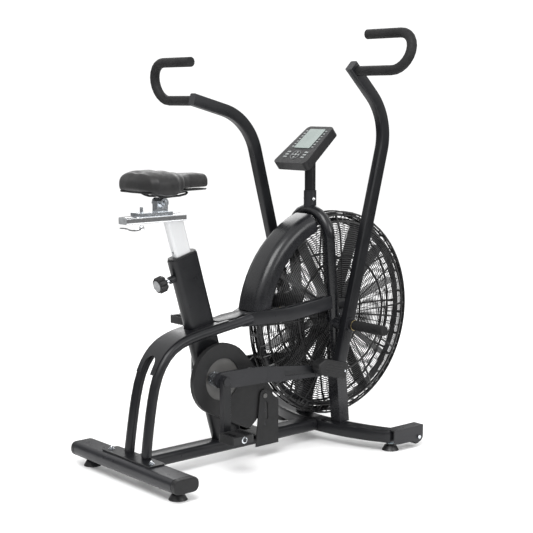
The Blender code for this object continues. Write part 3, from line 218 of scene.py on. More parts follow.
CHROME = finish_of("chrome", (0.80, 0.81, 0.83), (0.90, 0.91, 0.92), (0.05, 0.12), 1.0, mottle=25.0,
                   grain=(400.0, 0.05, 0.0001))
BRASS = finish_of("brass_ring", (0.42, 0.33, 0.16), (0.55, 0.44, 0.22), (0.25, 0.38), 1.0,
                  mottle=40.0)
PULLEY = finish_of("grey_pulley", (0.055, 0.054, 0.052), (0.085, 0.083, 0.080), (0.36, 0.50),
                   mottle=14.0, grain=(800.0, 0.25, 0.0003), stretch=(1.0, 0.2, 1.0))
SKIN = leather("saddle_skin")
LCD = finish_of("display_glass", (0.19, 0.23, 0.215), (0.23, 0.27, 0.255), (0.10, 0.16),
                mottle=20.0, grain=(300.0, 0.02, 0.0001), coat=0.5, pattern=display)
KEYS = finish_of("printed_keys", (0.16, 0.17, 0.17), (0.24, 0.25, 0.25), (0.40, 0.5), mottle=60.0)
PALE_RING = finish_of("pale_ring", (0.15, 0.155, 0.16), (0.22, 0.225, 0.23), (0.35, 0.5),
                      mottle=60.0)

FINISH = {
    PAINT: ["base_rail", "rear_stabilizer", "front_stabilizer", "arch_tube_left", "arch_tube_right",
            "rear_mount_plate", "seat_tube", "yoke", "handle_lever_left", "handle_lever_right",
            "crank_housing", "fan_rotor", "link_bar_left", "link_bar_right", "crank_arm_left",
            "crank_arm_right", "console_mast", "lever_axle_left", "lever_axle_right", "arch_cover_plate"],
    GLOSS_PAINT: ["front_fork", "fan_shroud"],
    WIRE: ["fan_cage_band", "fan_grille_left", "fan_grille_right", "saddle_rails"],
    PLATE: ["belt_guard", "jackshaft_bracket", "joint_cover_left", "joint_cover_right"],
    PLASTIC: ["console_case", "rear_cap_left", "rear_cap_right", "seat_tube_sleeve", "pedal_left",
              "pedal_right"],
    RUBBER: ["grip_left", "grip_right", "foot_peg_left", "foot_peg_right", "transport_wheel_left",
             "transport_wheel_right"],
    BELT: ["crank_belt", "fan_belt"],
    SILVER: ["seat_post"],
    CHROME: ["seat_slide_rail", "slide_clamp_lever"],
    ZINC: ["seat_carriage", "fan_axle", "crank_spindle"],
    PULLEY: ["crank_pulley", "jackshaft"],
    LCD: ["console_screen"],
}
FOOT_SPLIT = finish_of("foot_cone_and_nut", (0.010, 0.010, 0.011), (0.016, 0.016, 0.017), (0.35, 0.5),
                       mottle=30.0, pattern=height_split(0.0225, (0.50, 0.62, 0.68)))
FINISH[FOOT_SPLIT] = [f"levelling_foot_{end}_{side}"
                      for end in ("front", "rear") for side in ("left", "right")]

ROUNDED = {
    "base_rail": 0.0015, "yoke": 0.0015, "seat_tube": 0.0012, "belt_guard": 0.0006,
    "jackshaft_bracket": 0.0006, "arch_cover_plate": 0.0008, "joint_cover_left": 0.0008,
    "joint_cover_right": 0.0008, "seat_slide_rail": 0.0010, "rear_mount_plate": 0.0008,
}


def smoothing():
    """Node group that joins a CAD mesh's split corners and shades it smooth up to its edges."""
    group = bpy.data.node_groups.new("smooth_to_edges", "GeometryNodeTree")
    group.interface.new_socket("Geometry", in_out="INPUT", socket_type="NodeSocketGeometry")
    group.interface.new_socket("Geometry", in_out="OUTPUT", socket_type="NodeSocketGeometry")
    start = group.nodes.new("NodeGroupInput")
    end = group.nodes.new("NodeGroupOutput")
    merge = group.nodes.new("GeometryNodeMergeByDistance")
    merge.inputs["Distance"].default_value = 0.00001
    faces = group.nodes.new("GeometryNodeSetShadeSmooth")
    edges = group.nodes.new("GeometryNodeSetShadeSmooth")
    edges.domain = "EDGE"
    edges.inputs["Shade Smooth"].default_value = False
    angle = group.nodes.new("GeometryNodeInputMeshEdgeAngle")
    sharp = group.nodes.new("FunctionNodeCompare")
    sharp.data_type = "FLOAT"
    sharp.operation = "GREATER_THAN"
    sharp.inputs["B"].default_value = math.radians(32)
    group.links.new(start.outputs[0], merge.inputs["Geometry"])
    group.links.new(merge.outputs["Geometry"], faces.inputs["Geometry"])
    group.links.new(faces.outputs["Geometry"], edges.inputs["Geometry"])
    group.links.new(angle.outputs["Unsigned Angle"], sharp.inputs["A"])
    group.links.new(sharp.outputs["Result"], edges.inputs["Selection"])
    group.links.new(edges.outputs["Geometry"], end.inputs[0])
    return group


SMOOTH = smoothing()


def dress(node, material):
    """Finish and smooth shading for a carried CAD node."""
    obj = NODES[node]
    obj.data.materials.clear()
    obj.data.materials.append(material)
    custom = obj.data.attributes.get("custom_normal")
    if custom:
        obj.data.attributes.remove(custom)
    obj.modifiers.new("smooth", "NODES").node_group = SMOOTH
    weighted = obj.modifiers.new("normals", "WEIGHTED_NORMAL")
    weighted.keep_sharp = True
    if node in ROUNDED:
        bevel = obj.modifiers.new("edge", "BEVEL")
        bevel.width = ROUNDED[node]
        bevel.segments = 2
        bevel.limit_method = "ANGLE"
        bevel.angle_limit = math.radians(40)
        bevel.harden_normals = True


for finish, names in FINISH.items():
    for node_name in names:
        dress(node_name, finish)


# ---------------------------------------------------------------- shapes
def piece(name, vertices, faces, material, body, smooth=True, angle=40):
    """A new mesh piece that rides on a body."""
    mesh = bpy.data.meshes.new(name)
    mesh.from_pydata([tuple(v) for v in vertices], [], faces)
    mesh.validate()
    tidy = bmesh.new()
    tidy.from_mesh(mesh)
    bmesh.ops.remove_doubles(tidy, verts=tidy.verts, dist=0.000005)
    bmesh.ops.recalc_face_normals(tidy, faces=tidy.faces)
    tidy.to_mesh(mesh)
    tidy.free()
    if smooth:
        mesh.polygons.foreach_set("use_smooth", [True] * len(mesh.polygons))
        mesh.set_sharp_from_angle(angle=math.radians(angle))
    mesh.materials.append(material)
    obj = bpy.data.objects.new(name, mesh)
    bpy.context.scene.collection.objects.link(obj)
    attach(obj, body)
    return obj


def frame_of(axis):
    """Two directions square to an axis."""
    axis = Vector(axis).normalized()
    helper = Vector((0, 0, 1)) if abs(axis.z) < 0.9 else Vector((1, 0, 0))
    across = axis.cross(helper).normalized()
    return axis, across, axis.cross(across)


def lathe(profile, at, axis, steps, vertices, faces, lobes=0, depth=0.0):
    """Adds a turned body to the lists: profile is (distance along the axis, radius)."""
    axis, across, up = frame_of(axis)
    at = Vector(at)
    base = len(vertices)
    for along, radius in profile:
        for i in range(steps):
            a = 2 * math.pi * i / steps
            r = radius
            if lobes and radius > depth * 3:
                r = radius - depth * max(0.0, math.cos(lobes * a)) ** 2
            vertices.append(at + axis * along + (across * math.cos(a) + up * math.sin(a)) * r)
    for k in range(len(profile) - 1):
        for i in range(steps):
            j = (i + 1) % steps
            faces.append((base + k * steps + i, base + k * steps + j,
                          base + (k + 1) * steps + j, base + (k + 1) * steps + i))
    faces.append(tuple(base + i for i in range(steps))[::-1])
    last = base + (len(profile) - 1) * steps
    faces.append(tuple(last + i for i in range(steps)))


def turned_piece(name, profiles, material, body, slot, steps=24, **more):
    """One piece of one or more turned bodies, each (profile, place, axis)."""
    vertices, faces = [], []
    for profile, at, axis in profiles:
        lathe(profile, at, axis, steps, vertices, faces, **more)
    return piece(name, vertices, faces, material, body)


def ring_into(vertices, faces, centre, axis, radius, wire, steps, sides=5, rise=0.0):
    """Adds a ring of round wire to the lists."""
    axis, across, up = frame_of(axis)
    base = len(vertices)
    for i in range(steps):
        a = 2 * math.pi * i / steps
        out = across * math.cos(a) + up * math.sin(a)
        for k in range(sides):
            b = 2 * math.pi * k / sides
            vertices.append(centre + axis * (rise + wire * math.sin(b))
                            + out * (radius + wire * math.cos(b)))
    for i in range(steps):
        for k in range(sides):
            here, there = base + i * sides, base + (i + 1) % steps * sides
            faces.append((here + k, here + (k + 1) % sides, there + (k + 1) % sides, there + k))


def dome_nut(radius, height):
    """Profile of a capped nut on its washer."""
    cap = [(height * math.sin(a), radius * 0.72 * math.cos(a))
           for a in (math.radians(d) for d in (20, 45, 70, 88))]
    return [(0.0, radius * 1.35), (height * 0.14, radius * 1.35), (height * 0.16, radius),
            (height * 0.42, radius), (height * 0.46, radius * 0.75)
            ] + [(height * 0.46 + h * 0.54, r) for h, r in cap]


# ---------------------------------------------------------------- fan cage
GRILLE_FACE = 0.0550
GRILLE_DROP = 0.0335
GRILLE_RIM = 0.3420
WIRE_PITCH = 0.0073
WIRE_RADIUS = 0.00135
INNER_WIRE = 0.0620             # radius of the smallest ring of wire
OUTER_WIRE = 0.3150             # no thin ring is as large as this
HEAVY_RING = 0.3185
WIRE_SPOKES = 36
SPOKE_HALF = 0.0011
RIM_RADIUS = 0.3505
SPACERS = 56
HUB_COVER_Y = 0.0560
AXLE_NUT_Y = 0.0770


def grille_height(radius):
    return GRILLE_FACE - GRILLE_DROP * (radius / GRILLE_RIM) ** 8


def make_wires(name, side):
    """Close rings of wire on the grille's dome, with wire spokes behind them."""
    vertices, faces = [], []
    radius = INNER_WIRE
    while radius < OUTER_WIRE:
        ring_into(vertices, faces, FAN, (0, side, 0), radius, WIRE_RADIUS, 84, 5,
                  grille_height(radius))
        radius += WIRE_PITCH
    ring_into(vertices, faces, FAN, (0, side, 0), HEAVY_RING, 0.0042, 108, 8,
              grille_height(HEAVY_RING))
    for k in range(WIRE_SPOKES):
        turn = math.radians(360 / WIRE_SPOKES * k + 5.6)
        along = Vector((math.cos(turn), 0, math.sin(turn)))
        aside = Vector((-math.sin(turn), 0, math.cos(turn))) * SPOKE_HALF
        base = len(vertices)
        stops = [0.050 + 0.0145 * i for i in range(20)] + [0.3385]
        for r in stops:
            y = side * (grille_height(r) - 0.0026)
            for push, dy in ((aside, 0.0), (Vector((0, 0, 0)), SPOKE_HALF * side), (-aside, 0.0),
                             (Vector((0, 0, 0)), -SPOKE_HALF * side)):
                vertices.append(FAN + along * r + push + Vector((0, y + dy, 0)))
        for i in range(len(stops) - 1):
            for j in range(4):
                a = base + i * 4 + j
                b = base + i * 4 + (j + 1) % 4
                faces.append((a, b, b + 4, a + 4))
        faces.append((base, base + 1, base + 2, base + 3))
        last = base + (len(stops) - 1) * 4
        faces.append((last + 3, last + 2, last + 1, last))
    return piece(name, vertices, faces, WIRE, "frame")


for side_name, side in SIDES:
    make_wires(f"fan_wires_{side_name}", side)
    turned_piece(f"fan_hub_cover_{side_name}",
                 [([(0.0, 0.0455), (0.0012, 0.0455), (0.0020, 0.0440), (0.0020, 0.0210)],
                   FAN + Vector((0, side * HUB_COVER_Y, 0)), (0, side, 0))],
                 PAINT, "frame", "black_paint", 48)
    turned_piece(f"fan_axle_nut_{side_name}",
                 [([(0.0, 0.0125), (0.0020, 0.0125), (0.0022, 0.0100), (0.0090, 0.0100),
                    (0.0100, 0.0088)], FAN + Vector((0, side * AXLE_NUT_Y, 0)), (0, side, 0))],
                 ZINC, "frame", "zinc_steel", 6)


def make_spacers():
    """Small ties between the cage's rim and each grille's heavy ring."""
    vertices, faces = [], []
    for k in range(SPACERS):
        turn = math.radians(k * 360 / SPACERS)
        out = Vector((math.cos(turn), 0, math.sin(turn)))
        for side in (-1, 1):
            inner = FAN + out * HEAVY_RING + Vector((0, side * grille_height(HEAVY_RING), 0))
            outer = FAN + out * RIM_RADIUS + Vector((0, side * 0.0190, 0))
            lathe([(0.0, 0.0019), ((outer - inner).length, 0.0019)], inner, outer - inner, 6,
                  vertices, faces)
    return piece("cage_spacers", vertices, faces, WIRE, "frame")


make_spacers()
rim_vertices, rim_faces = [], []
for rim_side in (-1, 1):
    ring_into(rim_vertices, rim_faces, FAN, (0, 1, 0), RIM_RADIUS, 0.0032, 120, 8,
              rim_side * 0.0205)
piece("cage_rim_wires", rim_vertices, rim_faces, WIRE, "frame")


# ---------------------------------------------------------------- saddle
SADDLE_REAR, SADDLE_NOSE = -0.5610, -0.2840
SADDLE_EDGE = 0.9180            # height of the saddle's widest line
SADDLE_SKIRT = 0.8965
SADDLE_WIDTHS = ((0.00, 0.062), (0.04, 0.088), (0.11, 0.104), (0.22, 0.106), (0.34, 0.102), (0.46, 0.082),
                 (0.58, 0.056), (0.70, 0.041), (0.84, 0.036), (0.94, 0.031), (1.00, 0.022))
SADDLE_TOPS = ((0.00, 0.944), (0.06, 0.954), (0.16, 0.960), (0.30, 0.9605), (0.45, 0.954), (0.62, 0.9475),
               (0.82, 0.9470), (0.93, 0.9440), (1.00, 0.936))


def along_curve(table, t):
    """Smoothly read value of a table at t."""
    for (a, va), (b, vb) in zip(table, table[1:]):
        if t <= b:
            u = (t - a) / (b - a)
            u = u * u * (3 - 2 * u)
            return va + (vb - va) * u
    return table[-1][1]


def groove(distance, width):
    return math.exp(-(distance / width) ** 2)


def saddle_point(t, a):
    """A point of the saddle's skin, at t from rear to nose and at angle a round its section."""
    inward = min(1.0, min(t, 1 - t) / 0.055)
    end = math.sqrt(1 - (1 - inward) ** 2)
    width = along_curve(SADDLE_WIDTHS, t) * (0.35 + 0.65 * end)
    top = SADDLE_EDGE + (along_curve(SADDLE_TOPS, t) - SADDLE_EDGE) * (0.25 + 0.75 * end)
    skirt = SADDLE_SKIRT if t < 0.5 else SADDLE_SKIRT + 0.0050 * min(1.0, (t - 0.5) / 0.2)
    bottom = SADDLE_EDGE - (SADDLE_EDGE - skirt) * (0.3 + 0.7 * end)
    c, s = math.cos(a), math.sin(a)
    y = width * math.copysign(abs(c) ** 0.72, c)
    if s >= 0:
        z = SADDLE_EDGE + (top - SADDLE_EDGE) * s ** 0.82
        dip = 0.0070 * math.exp(-(y / 0.016) ** 2) * math.sin(math.pi * min(1.0, t / 0.62)) ** 0.7
        z -= dip * s
        for start, slope in ((0.10, 0.42), (0.22, 0.36)):
            across = abs(y) / 0.106
            z -= 0.0016 * groove(t - start - slope * (1 - across), 0.012) * min(1.0, across * 3) * end
    else:
        z = SADDLE_EDGE - (SADDLE_EDGE - bottom) * abs(s) ** 0.45
        lobe = min(1.0, max(0.0, (abs(y) - 0.052) / 0.034))
        z -= (0.0150 * lobe * lobe * (3 - 2 * lobe) * math.sin(math.pi * min(1.0, t / 0.55))
              * min(1.0, 2.5 * abs(s)))
    x = SADDLE_REAR + (SADDLE_NOSE - SADDLE_REAR) * t
    return Vector((x, y, z))


def make_saddle():
    """The saddle's padded skin, closed at both ends."""
    rows, around = 96, 84
    vertices, faces = [], []
    for i in range(rows + 1):
        t = 0.5 - 0.5 * math.cos(math.pi * i / rows)
        for j in range(around):
            vertices.append(saddle_point(t, 2 * math.pi * j / around))
    for i in range(rows):
        for j in range(around):
            k = (j + 1) % around
            faces.append((i * around + j, i * around + k, (i + 1) * around + k, (i + 1) * around + j))
    faces.append(tuple(range(around))[::-1])
    faces.append(tuple(rows * around + j for j in range(around)))
    return piece("saddle_pad", vertices, faces, SKIN, "seat_top", angle=75)


saddle = make_saddle()
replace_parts(saddle, "saddle")


def make_saddle_tray():
    """Moulded tray under the pad."""
    vertices, faces = [], []
    rows = 24
    for level, inset in ((0.8975, 0.006), (0.8930, 0.010)):
        ring = []
        for i in range(rows + 1):
            t = 0.03 + 0.94 * i / rows
            ring.append((t, along_curve(SADDLE_WIDTHS, t) - inset))
        loop = [(t, -w) for t, w in ring] + [(t, w) for t, w in reversed(ring)]
        for t, y in loop:
            vertices.append(Vector((SADDLE_REAR + (SADDLE_NOSE - SADDLE_REAR) * t, y, level)))
    n = len(vertices) // 2
    faces = [(i, (i + 1) % n, n + (i + 1) % n, n + i) for i in range(n)]
    faces += [tuple(range(n)), tuple(range(n, 2 * n))]
    return piece("saddle_tray", vertices, faces, PLASTIC, "seat_top")


make_saddle_tray()
turned_piece("saddle_clamp_bolt",
             [([(-0.0300, 0.0075), (-0.0262, 0.0080), (-0.0258, 0.0048), (0.0258, 0.0048), (0.0262, 0.0080),
                (0.0300, 0.0075)], (-0.4580, 0.0, 0.8600), (0, 1, 0))],
             ZINC, "seat_slide", "zinc_steel", 6)


# ---------------------------------------------------------------- seat height knob
def seat(along, up):
    """A point in the leaning seat tube's own plane."""
    c, s = math.cos(SEAT_LEAN), math.sin(SEAT_LEAN)
    return SEAT_TOP + Vector((along * c - up * s, 0.0, along * s + up * c))


PIN_AXIS = (seat(-1, 0) - seat(0, 0)).normalized()
PIN_UP = -0.057
knob = turned_piece("height_knob",
                    [([(0.0, 0.0130), (0.0020, 0.0240), (0.0050, 0.0262), (0.0240, 0.0262), (0.0280, 0.0235),
                       (0.0300, 0.0190)], seat(-0.0880, PIN_UP), PIN_AXIS)],
                    PLASTIC, "height_pin_knob", "black_plastic", 64, lobes=8, depth=0.0042)
turned_piece("height_pin_shank",
             [([(0.0, 0.0034), (0.0030, 0.0050), (0.0400, 0.0050), (0.0405, 0.0062), (0.0500, 0.0062),
                (0.0505, 0.0050), (0.0575, 0.0050)], seat(-0.0312, PIN_UP), PIN_AXIS)],
             ZINC, "height_pin_knob", "zinc_steel", 24)
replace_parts(knob, "height_pin")
turned_piece("height_knob_face",
             [([(0.0, 0.0175), (0.0009, 0.0175), (0.0009, 0.0150), (0.0004, 0.0145), (0.0004, 0.0020)],
               seat(-0.1180, PIN_UP), PIN_AXIS)],
             PALE_RING, "height_pin_knob", "black_plastic", 40)


def make_clamp_lever():
    """Bent flat lever that clamps the slide, with its collar."""
    vertices, faces = [], []
    stops = 14
    for i in range(stops + 1):
        t = i / stops
        x = -0.5240 - 0.0815 * t
        z = 0.7865 - 0.0075 * math.sin(math.pi * min(1.0, t * 1.25)) + 0.0035 * t * t
        half = (0.0072 - 0.0026 * math.sin(math.pi * min(1.0, t * 1.4))
                - 0.0030 * max(0.0, t - 0.85) / 0.15)
        thick = 0.0024 - 0.0008 * t
        vertices += [(x, -half, z - thick), (x, half, z - thick),
                     (x, half, z + thick), (x, -half, z + thick)]
    for i in range(stops):
        for j in range(4):
            a, b = i * 4 + j, i * 4 + (j + 1) % 4
            faces.append((a, b, b + 4, a + 4))
    faces += [(3, 2, 1, 0), tuple(stops * 4 + j for j in range(4))]
    lathe([(0.0, 0.0078), (0.0008, 0.0082), (0.0080, 0.0082), (0.0085, 0.0070), (0.0140, 0.0050)],
          (-0.5280, 0.0, 0.7800), (0, 0, 1), 28, vertices, faces)
    return piece("clamp_lever_blade", vertices, faces, CHROME, "slide_clamp")


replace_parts(make_clamp_lever(), "slide_clamp_lever")
slide_low, slide_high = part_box("seat_slide_rail")
END_CAP_HALF = 0.0200
end_x = slide_low.x - 0.0022
end_low, end_high = slide_low.z + 0.001, slide_high.z - 0.001
end_v = [(end_x, -END_CAP_HALF, end_low), (end_x, END_CAP_HALF, end_low),
         (end_x, END_CAP_HALF, end_high), (end_x, -END_CAP_HALF, end_high)]
end_v += [(x + 0.0024, y, z) for x, y, z in end_v]
end_f = [(0, 1, 2, 3), (7, 6, 5, 4), (0, 4, 5, 1), (1, 5, 6, 2), (2, 6, 7, 3), (3, 7, 4, 0)]
end_cap = piece("slide_end_cap", end_v, end_f, PALE_RING, "seat_height")
end_round = end_cap.modifiers.new("edge", "BEVEL")
end_round.width = 0.0008
end_round.segments = 2


# ---------------------------------------------------------------- console
def console(x, y, up):
    """A point on the console's tilted face."""
    c, s = math.cos(CONSOLE_TILT), math.sin(CONSOLE_TILT)
    return CONSOLE_AT + Vector((x * c - up * s, y, x * s + up * c))


def block_into(vertices, faces, place, x, y, half_x, half_y, low, high, corner=0.3):
    """Adds a low pad with clipped corners to the lists."""
    base = len(vertices)
    cut_x, cut_y = half_x * (1 - corner), half_y * (1 - corner)
    outline = ((half_x, cut_y), (cut_x, half_y), (-cut_x, half_y), (-half_x, cut_y), (-half_x, -cut_y),
               (-cut_x, -half_y), (cut_x, -half_y), (half_x, -cut_y))
    for level, shrink in ((low, 1.0), (high * 0.6 + low * 0.4, 1.0), (high, 0.86)):
        for dx, dy in outline:
            vertices.append(place(x + dx * shrink, y + dy * shrink, level))
    for k in range(2):
        for i in range(8):
            j = (i + 1) % 8
            faces.append((base + k * 8 + i, base + k * 8 + j,
                          base + (k + 1) * 8 + j, base + (k + 1) * 8 + i))
    faces.append(tuple(base + i for i in range(8))[::-1])
    faces.append(tuple(base + 16 + i for i in range(8)))


KEYPAD_X = -0.0530              # middle of the round keypad, down the console's face


def make_keys():
    """Key columns beside the display and the keypad under it."""
    vertices, faces = [], []
    for side in (-1, 1):
        for k in range(7):
            block_into(vertices, faces, console, -0.012 + 0.0135 * k, side * 0.0475, 0.0028, 0.0050,
                       0.0002, 0.0011)
    for side in (-1, 1):
        for k in range(3):
            block_into(vertices, faces, console, -0.040 - 0.0125 * k, side * 0.0430, 0.0036, 0.0085,
                       0.0002, 0.0013)
    for dx, dy in ((0.0125, 0), (-0.0125, 0), (0, 0.0125), (0, -0.0125)):
        block_into(vertices, faces, console, KEYPAD_X + dx, dy, 0.0035, 0.0035, 0.0002, 0.0013)
    block_into(vertices, faces, console, KEYPAD_X, 0.0, 0.0050, 0.0050, 0.0002, 0.0016, 0.5)
    return piece("console_keys", vertices, faces, KEYS, "frame")


make_keys()
surround_vertices, surround_faces = [], []
normal = console(0, 0, 1) - console(0, 0, 0)
ring_into(surround_vertices, surround_faces, console(KEYPAD_X, 0, 0), normal, 0.0195, 0.0009, 48, 6,
          0.0006)
piece("keypad_ring", surround_vertices, surround_faces, PALE_RING, "frame")


# ---------------------------------------------------------------- drive details
# The links' pins and the pedals, as they stand at rest.
PIN_AT = {"right": Vector((-0.30538, 0.0, 0.29745)), "left": Vector((-0.22662, 0.0, 0.27855))}
PEDAL_AT = {"right": Vector((-0.30538, 0.0, 0.12845)), "left": Vector((-0.22662, 0.0, 0.44755))}
for side_name, side in SIDES:
    out = (0, side, 0)
    pin = PIN_AT[side_name]
    turned_piece(f"crank_cap_{side_name}",
                 [([(0.0, 0.0120), (0.0006, 0.0130), (0.0014, 0.0126), (0.0014, 0.0098), (0.0006, 0.0094),
                    (0.0006, 0.0062), (0.0016, 0.0056)], pin + Vector((0, side * 0.1338, 0)), out)],
                 PAINT, "crank", "black_paint", 32)
    turned_piece(f"pin_bearing_{side_name}",
                 [([(0.0, 0.0236), (0.0004, 0.0246), (0.0030, 0.0246), (0.0034, 0.0236)],
                   pin + Vector((0, side * 0.0950, 0)), out)],
                 CHROME, "crank", "zinc_steel", 40)
    pedal = PEDAL_AT[side_name]
    turned_piece(f"pedal_end_{side_name}",
                 [([(0.0, 0.0110), (0.0012, 0.0108), (0.0020, 0.0090), (0.0020, 0.0030)],
                   pedal + Vector((0, side * 0.2180, 0)), out)],
                 ZINC, f"pedal_{side_name}_cage", "zinc_steel", 24)
    studs_v, studs_f = [], []
    for edge in (-1, 1):
        for face in (-1, 1):
            for k in range(9):
                y = side * (0.1460 + 0.0081 * k)
                lathe([(0.0, 0.0022), (0.0018, 0.0019), (0.0030, 0.0009)],
                      pedal + Vector((edge * 0.0390, y, face * 0.0119)), (0, 0, face), 8, studs_v, studs_f)
    piece(f"pedal_studs_{side_name}", studs_v, studs_f, PLASTIC, f"pedal_{side_name}_cage")


# ---------------------------------------------------------------- levers and grips
for side_name, side in SIDES:
    peg_low, peg_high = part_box(f"foot_peg_{side_name}")
    centre = Vector(((peg_low.x + peg_high.x) / 2, 0, (peg_low.z + peg_high.z) / 2))
    turned_piece(f"peg_ring_{side_name}",
                 [([(0.0, 0.0168), (0.0003, 0.0176), (0.0020, 0.0176), (0.0023, 0.0168)],
                   centre + Vector((0, side * 0.1830, 0)), (0, side, 0))],
                 BRASS, "frame", "zinc_steel", 36)
    tip_v, tip_f = [], []
    for k in range(14):
        lathe([(0.0, 0.0166), (0.0006, 0.0173), (0.0024, 0.0173), (0.0030, 0.0166)],
              centre + Vector((0, side * (0.2080 + 0.0078 * k), 0)), (0, side, 0), 24, tip_v, tip_f)
    piece(f"peg_ribs_{side_name}", tip_v, tip_f, RUBBER, "frame")
    wheel_low, wheel_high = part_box(f"transport_wheel_{side_name}")
    hub = (wheel_low + wheel_high) / 2
    turned_piece(f"wheel_bolt_{side_name}",
                 [([(0.0, 0.0070), (0.0030, 0.0070), (0.0042, 0.0060)],
                   Vector((hub.x, side * 0.3168, hub.z)), (0, side, 0))],
                 ZINC, f"wheel_{side_name}", "zinc_steel", 6)


def lever_path():
    """Centre line of a handle lever in its own plane, as (point, direction) pairs."""
    bend, radius, straight, tail = math.radians(60), 0.190, 0.600, 0.137
    path = [((0.0, -0.1650 + (straight + 0.165) * i / 12), (0.0, 1.0)) for i in range(12)]
    for i in range(19):
        a = bend * i / 18
        path.append(((-radius + radius * math.cos(a), straight + radius * math.sin(a)),
                     (-math.sin(a), math.cos(a))))
    end, along = path[-1]
    path.append(((end[0] + along[0] * tail, end[1] + along[1] * tail), along))
    return path


def make_lever_tube(name, side, body, place):
    """Rounded rectangular tube swept along the lever's centre line."""
    half_depth, low, high, corner, turns = 0.020, 0.1332, 0.1630, 0.005, 4
    section = []
    for cx, cy, start in ((1, high, 0), (-1, high, 90), (-1, low, 180), (1, low, 270)):
        middle_y = high - corner if cy == high else low + corner
        for i in range(turns + 1):
            a = math.radians(start + 90 * i / turns)
            section.append((cx * (half_depth - corner) + corner * math.cos(a),
                            middle_y + corner * math.sin(a)))
    vertices, faces = [], []
    path = lever_path()
    for (x, z), (dx, dz) in path:
        for out, y in section:
            vertices.append(place(x + dz * out, z - dx * out, side * y))
    count = len(section)
    for k in range(len(path) - 1):
        for i in range(count):
            a, b = k * count + i, k * count + (i + 1) % count
            faces.append((a, b, b + count, a + count))
    faces.append(tuple(range(count))[::-1])
    faces.append(tuple((len(path) - 1) * count + i for i in range(count)))
    return piece(name, vertices, faces, PAINT, body, angle=32)


LEVER_PIVOT = Vector((0.2020, 0.0, 0.4240))
LEVER_LEAN = math.radians(14.95)
for side_name, side in SIDES:
    lean = -side * LEVER_LEAN
    c, s = math.cos(lean), math.sin(lean)

    def cover(x, z, y, c=c, s=s):
        """A point on the joint cover, in the lever's own plane."""
        return LEVER_PIVOT + Vector((x * c + z * s, y, -x * s + z * c))

    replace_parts(make_lever_tube(f"lever_tube_{side_name}", side, f"lever_{side_name}", cover),
                f"handle_lever_{side_name}")
    rib_v, rib_f = [], []
    for z in (-0.1410, -0.1500, -0.1590, -0.1680):
        block_into(rib_v, rib_f, lambda a, b, up: cover(a, b, side * (0.1709 + up)),
                   -0.0420, z, 0.0380, 0.0016, -0.0004, 0.0008)
    piece(f"cover_ribs_{side_name}", rib_v, rib_f, PLATE, f"lever_{side_name}")
    turned_piece(f"cover_screw_{side_name}",
                 [([(0.0, 0.0040), (0.0010, 0.0038), (0.0014, 0.0030), (0.0004, 0.0020)],
                   cover(0.0120, -0.1560, side * 0.1708), (0, side, 0))],
                 ZINC, f"lever_{side_name}", "zinc_steel", 20)


# ---------------------------------------------------------------- fasteners
plate_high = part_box("rear_mount_plate")[1]
turned_piece("plate_nuts",
             [(dome_nut(0.0075, 0.0120), (-0.5790, y, plate_high.z - 0.0002), (0, 0, 1))
              for y in (-0.108, 0.108)],
             ZINC, "frame", "zinc_steel", 18)
turned_piece("mast_bolts",
             [(dome_nut(0.0048, 0.0070), (0.1640, side * 0.0213, 0.8400), (0, side, 0))
              for side in (-1, 1)],
             CHROME, "frame", "zinc_steel", 18)


bracket_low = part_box("jackshaft_bracket")[0]
back_v, back_f = [], []
back = [(-0.1180, 0.0900), (-0.0700, 0.0900), (-0.0720, 0.1900), (-0.0950, 0.2080), (-0.1160, 0.1900)]
for y in (bracket_low.y + 0.0033, bracket_low.y + 0.0048):
    back_v += [(x, y, z) for x, z in back]
count = len(back)
back_f = [(i, (i + 1) % count, count + (i + 1) % count, count + i) for i in range(count)]
back_f += [tuple(range(count))[::-1], tuple(range(count, 2 * count))]
piece("bracket_backing", back_v, back_f, PLATE, "frame", angle=20)
turned_piece("tension_screw",
             [([(0.0, 0.0062), (0.0030, 0.0062), (0.0038, 0.0052)],
               (-0.0950, bracket_low.y + 0.0035, z), (0, -1, 0)) for z in (0.1150, 0.1600)],
             PAINT, "frame", "black_paint", 6)


def top_plate():
    """Plate that closes the top of the frame between the seat tube and the yoke."""
    stops = ((-0.2570, 0.4705, 0.0300), (-0.2246, 0.4735, 0.0330), (-0.1900, 0.4775, 0.0400),
             (-0.1560, 0.4830, 0.0300), (-0.1300, 0.4856, 0.0250))
    rings = []
    for x, z, half in stops:
        rings.append([(x, -half, z - 0.004), (x, half, z - 0.004), (x, half, z - 0.001),
                      (x, half - 0.002, z), (x, -half + 0.002, z), (x, -half, z - 0.001)])
    vertices = [v for ring in rings for v in ring]
    faces = []
    for i in range(len(stops) - 1):
        for j in range(6):
            a, b = i * 6 + j, i * 6 + (j + 1) % 6
            faces.append((a, b, b + 6, a + 6))
    faces += [tuple(range(6))[::-1], tuple((len(stops) - 1) * 6 + j for j in range(6))]
    return piece("frame_top_plate", vertices, faces, PAINT, "frame", angle=30)


top_plate()


# ---------------------------------------------------------------- stage
def make_floor():
    mesh = bpy.data.meshes.new("floor")
    mesh.from_pydata([(-40, -40, 0), (40, -40, 0), (40, 40, 0), (-40, 40, 0)], [], [(0, 1, 2, 3)])
    floor = bpy.data.objects.new("floor", mesh)
    bpy.context.scene.collection.objects.link(floor)
    material = bpy.data.materials.new("pale_floor")
    material.use_nodes = True
    shader = material.node_tree.nodes["Principled BSDF"]
    shader.inputs["Base Color"].default_value = (0.93, 0.93, 0.93, 1.0)
    shader.inputs["Roughness"].default_value = 0.9
    shader.inputs["Specular IOR Level"].default_value = 0.1
    mesh.materials.append(material)


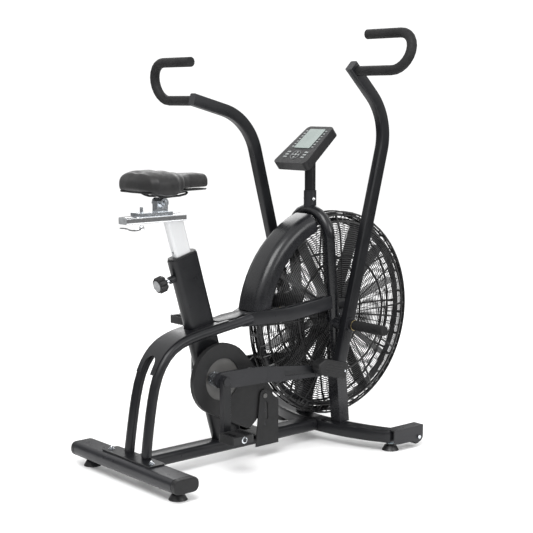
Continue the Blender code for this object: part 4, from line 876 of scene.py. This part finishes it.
def make_dark_surround():
    """A faintly glowing dark ring that only reflections see, for upright faces and plated metal."""
    steps, radius, top = 48, 2.3, 1.15
    ring = [(radius * math.cos(a), radius * math.sin(a))
            for a in (2 * math.pi * i / steps for i in range(steps))]
    mesh = bpy.data.meshes.new("dark_surround")
    points = [(x, y, 0.02) for x, y in ring] + [(x, y, top) for x, y in ring]
    walls = [(i, (i + 1) % steps, steps + (i + 1) % steps, steps + i) for i in range(steps)]
    mesh.from_pydata(points, [], walls)
    surround = bpy.data.objects.new("dark_surround", mesh)
    bpy.context.scene.collection.objects.link(surround)
    material = bpy.data.materials.new("dark_card")
    material.use_nodes = True
    shader = material.node_tree.nodes["Principled BSDF"]
    shader.inputs["Base Color"].default_value = (0.02, 0.02, 0.02, 1.0)
    shader.inputs["Emission Color"].default_value = (1.0, 1.0, 1.0, 1.0)
    shader.inputs["Emission Strength"].default_value = 0.12
    mesh.materials.append(material)
    surround.visible_camera = False
    surround.visible_diffuse = False
    surround.visible_shadow = False


def make_light(name, place, size, power):
    """A soft square light that faces the bike."""
    light = bpy.data.lights.new(name, "AREA")
    light.energy = power
    light.size = size
    obj = bpy.data.objects.new(name, light)
    obj.location = place
    aim = Vector((0.0, 0.0, 0.6)) - Vector(place)
    obj.rotation_euler = aim.to_track_quat("-Z", "Y").to_euler()
    bpy.context.scene.collection.objects.link(obj)


make_floor()
make_dark_surround()
make_light("key", (-2.2, -1.6, 3.6), 2.2, 130.0)
make_light("side", (1.2, -4.2, 2.2), 2.0, 60.0)
make_light("back", (2.5, 3.0, 3.0), 2.5, 60.0)
world = bpy.data.worlds.new("studio")
world.use_nodes = True
world.node_tree.nodes["Background"].inputs["Color"].default_value = (1.0, 1.0, 1.0, 1.0)
world.node_tree.nodes["Background"].inputs["Strength"].default_value = 1.12
bpy.context.scene.world = world
bpy.context.scene.view_settings.view_transform = "Standard"

camera_data = bpy.data.cameras.new("camera")
camera_data.lens = 84.27
camera_data.sensor_width = 36.0
camera = bpy.data.objects.new("camera", camera_data)
camera.location = (-2.700, -3.110, 1.174)
sight = Vector((-0.0278, 0.0, 0.6240)) - camera.location
camera.rotation_euler = sight.to_track_quat("-Z", "Y").to_euler()
bpy.context.scene.collection.objects.link(camera)
bpy.context.scene.camera = camera
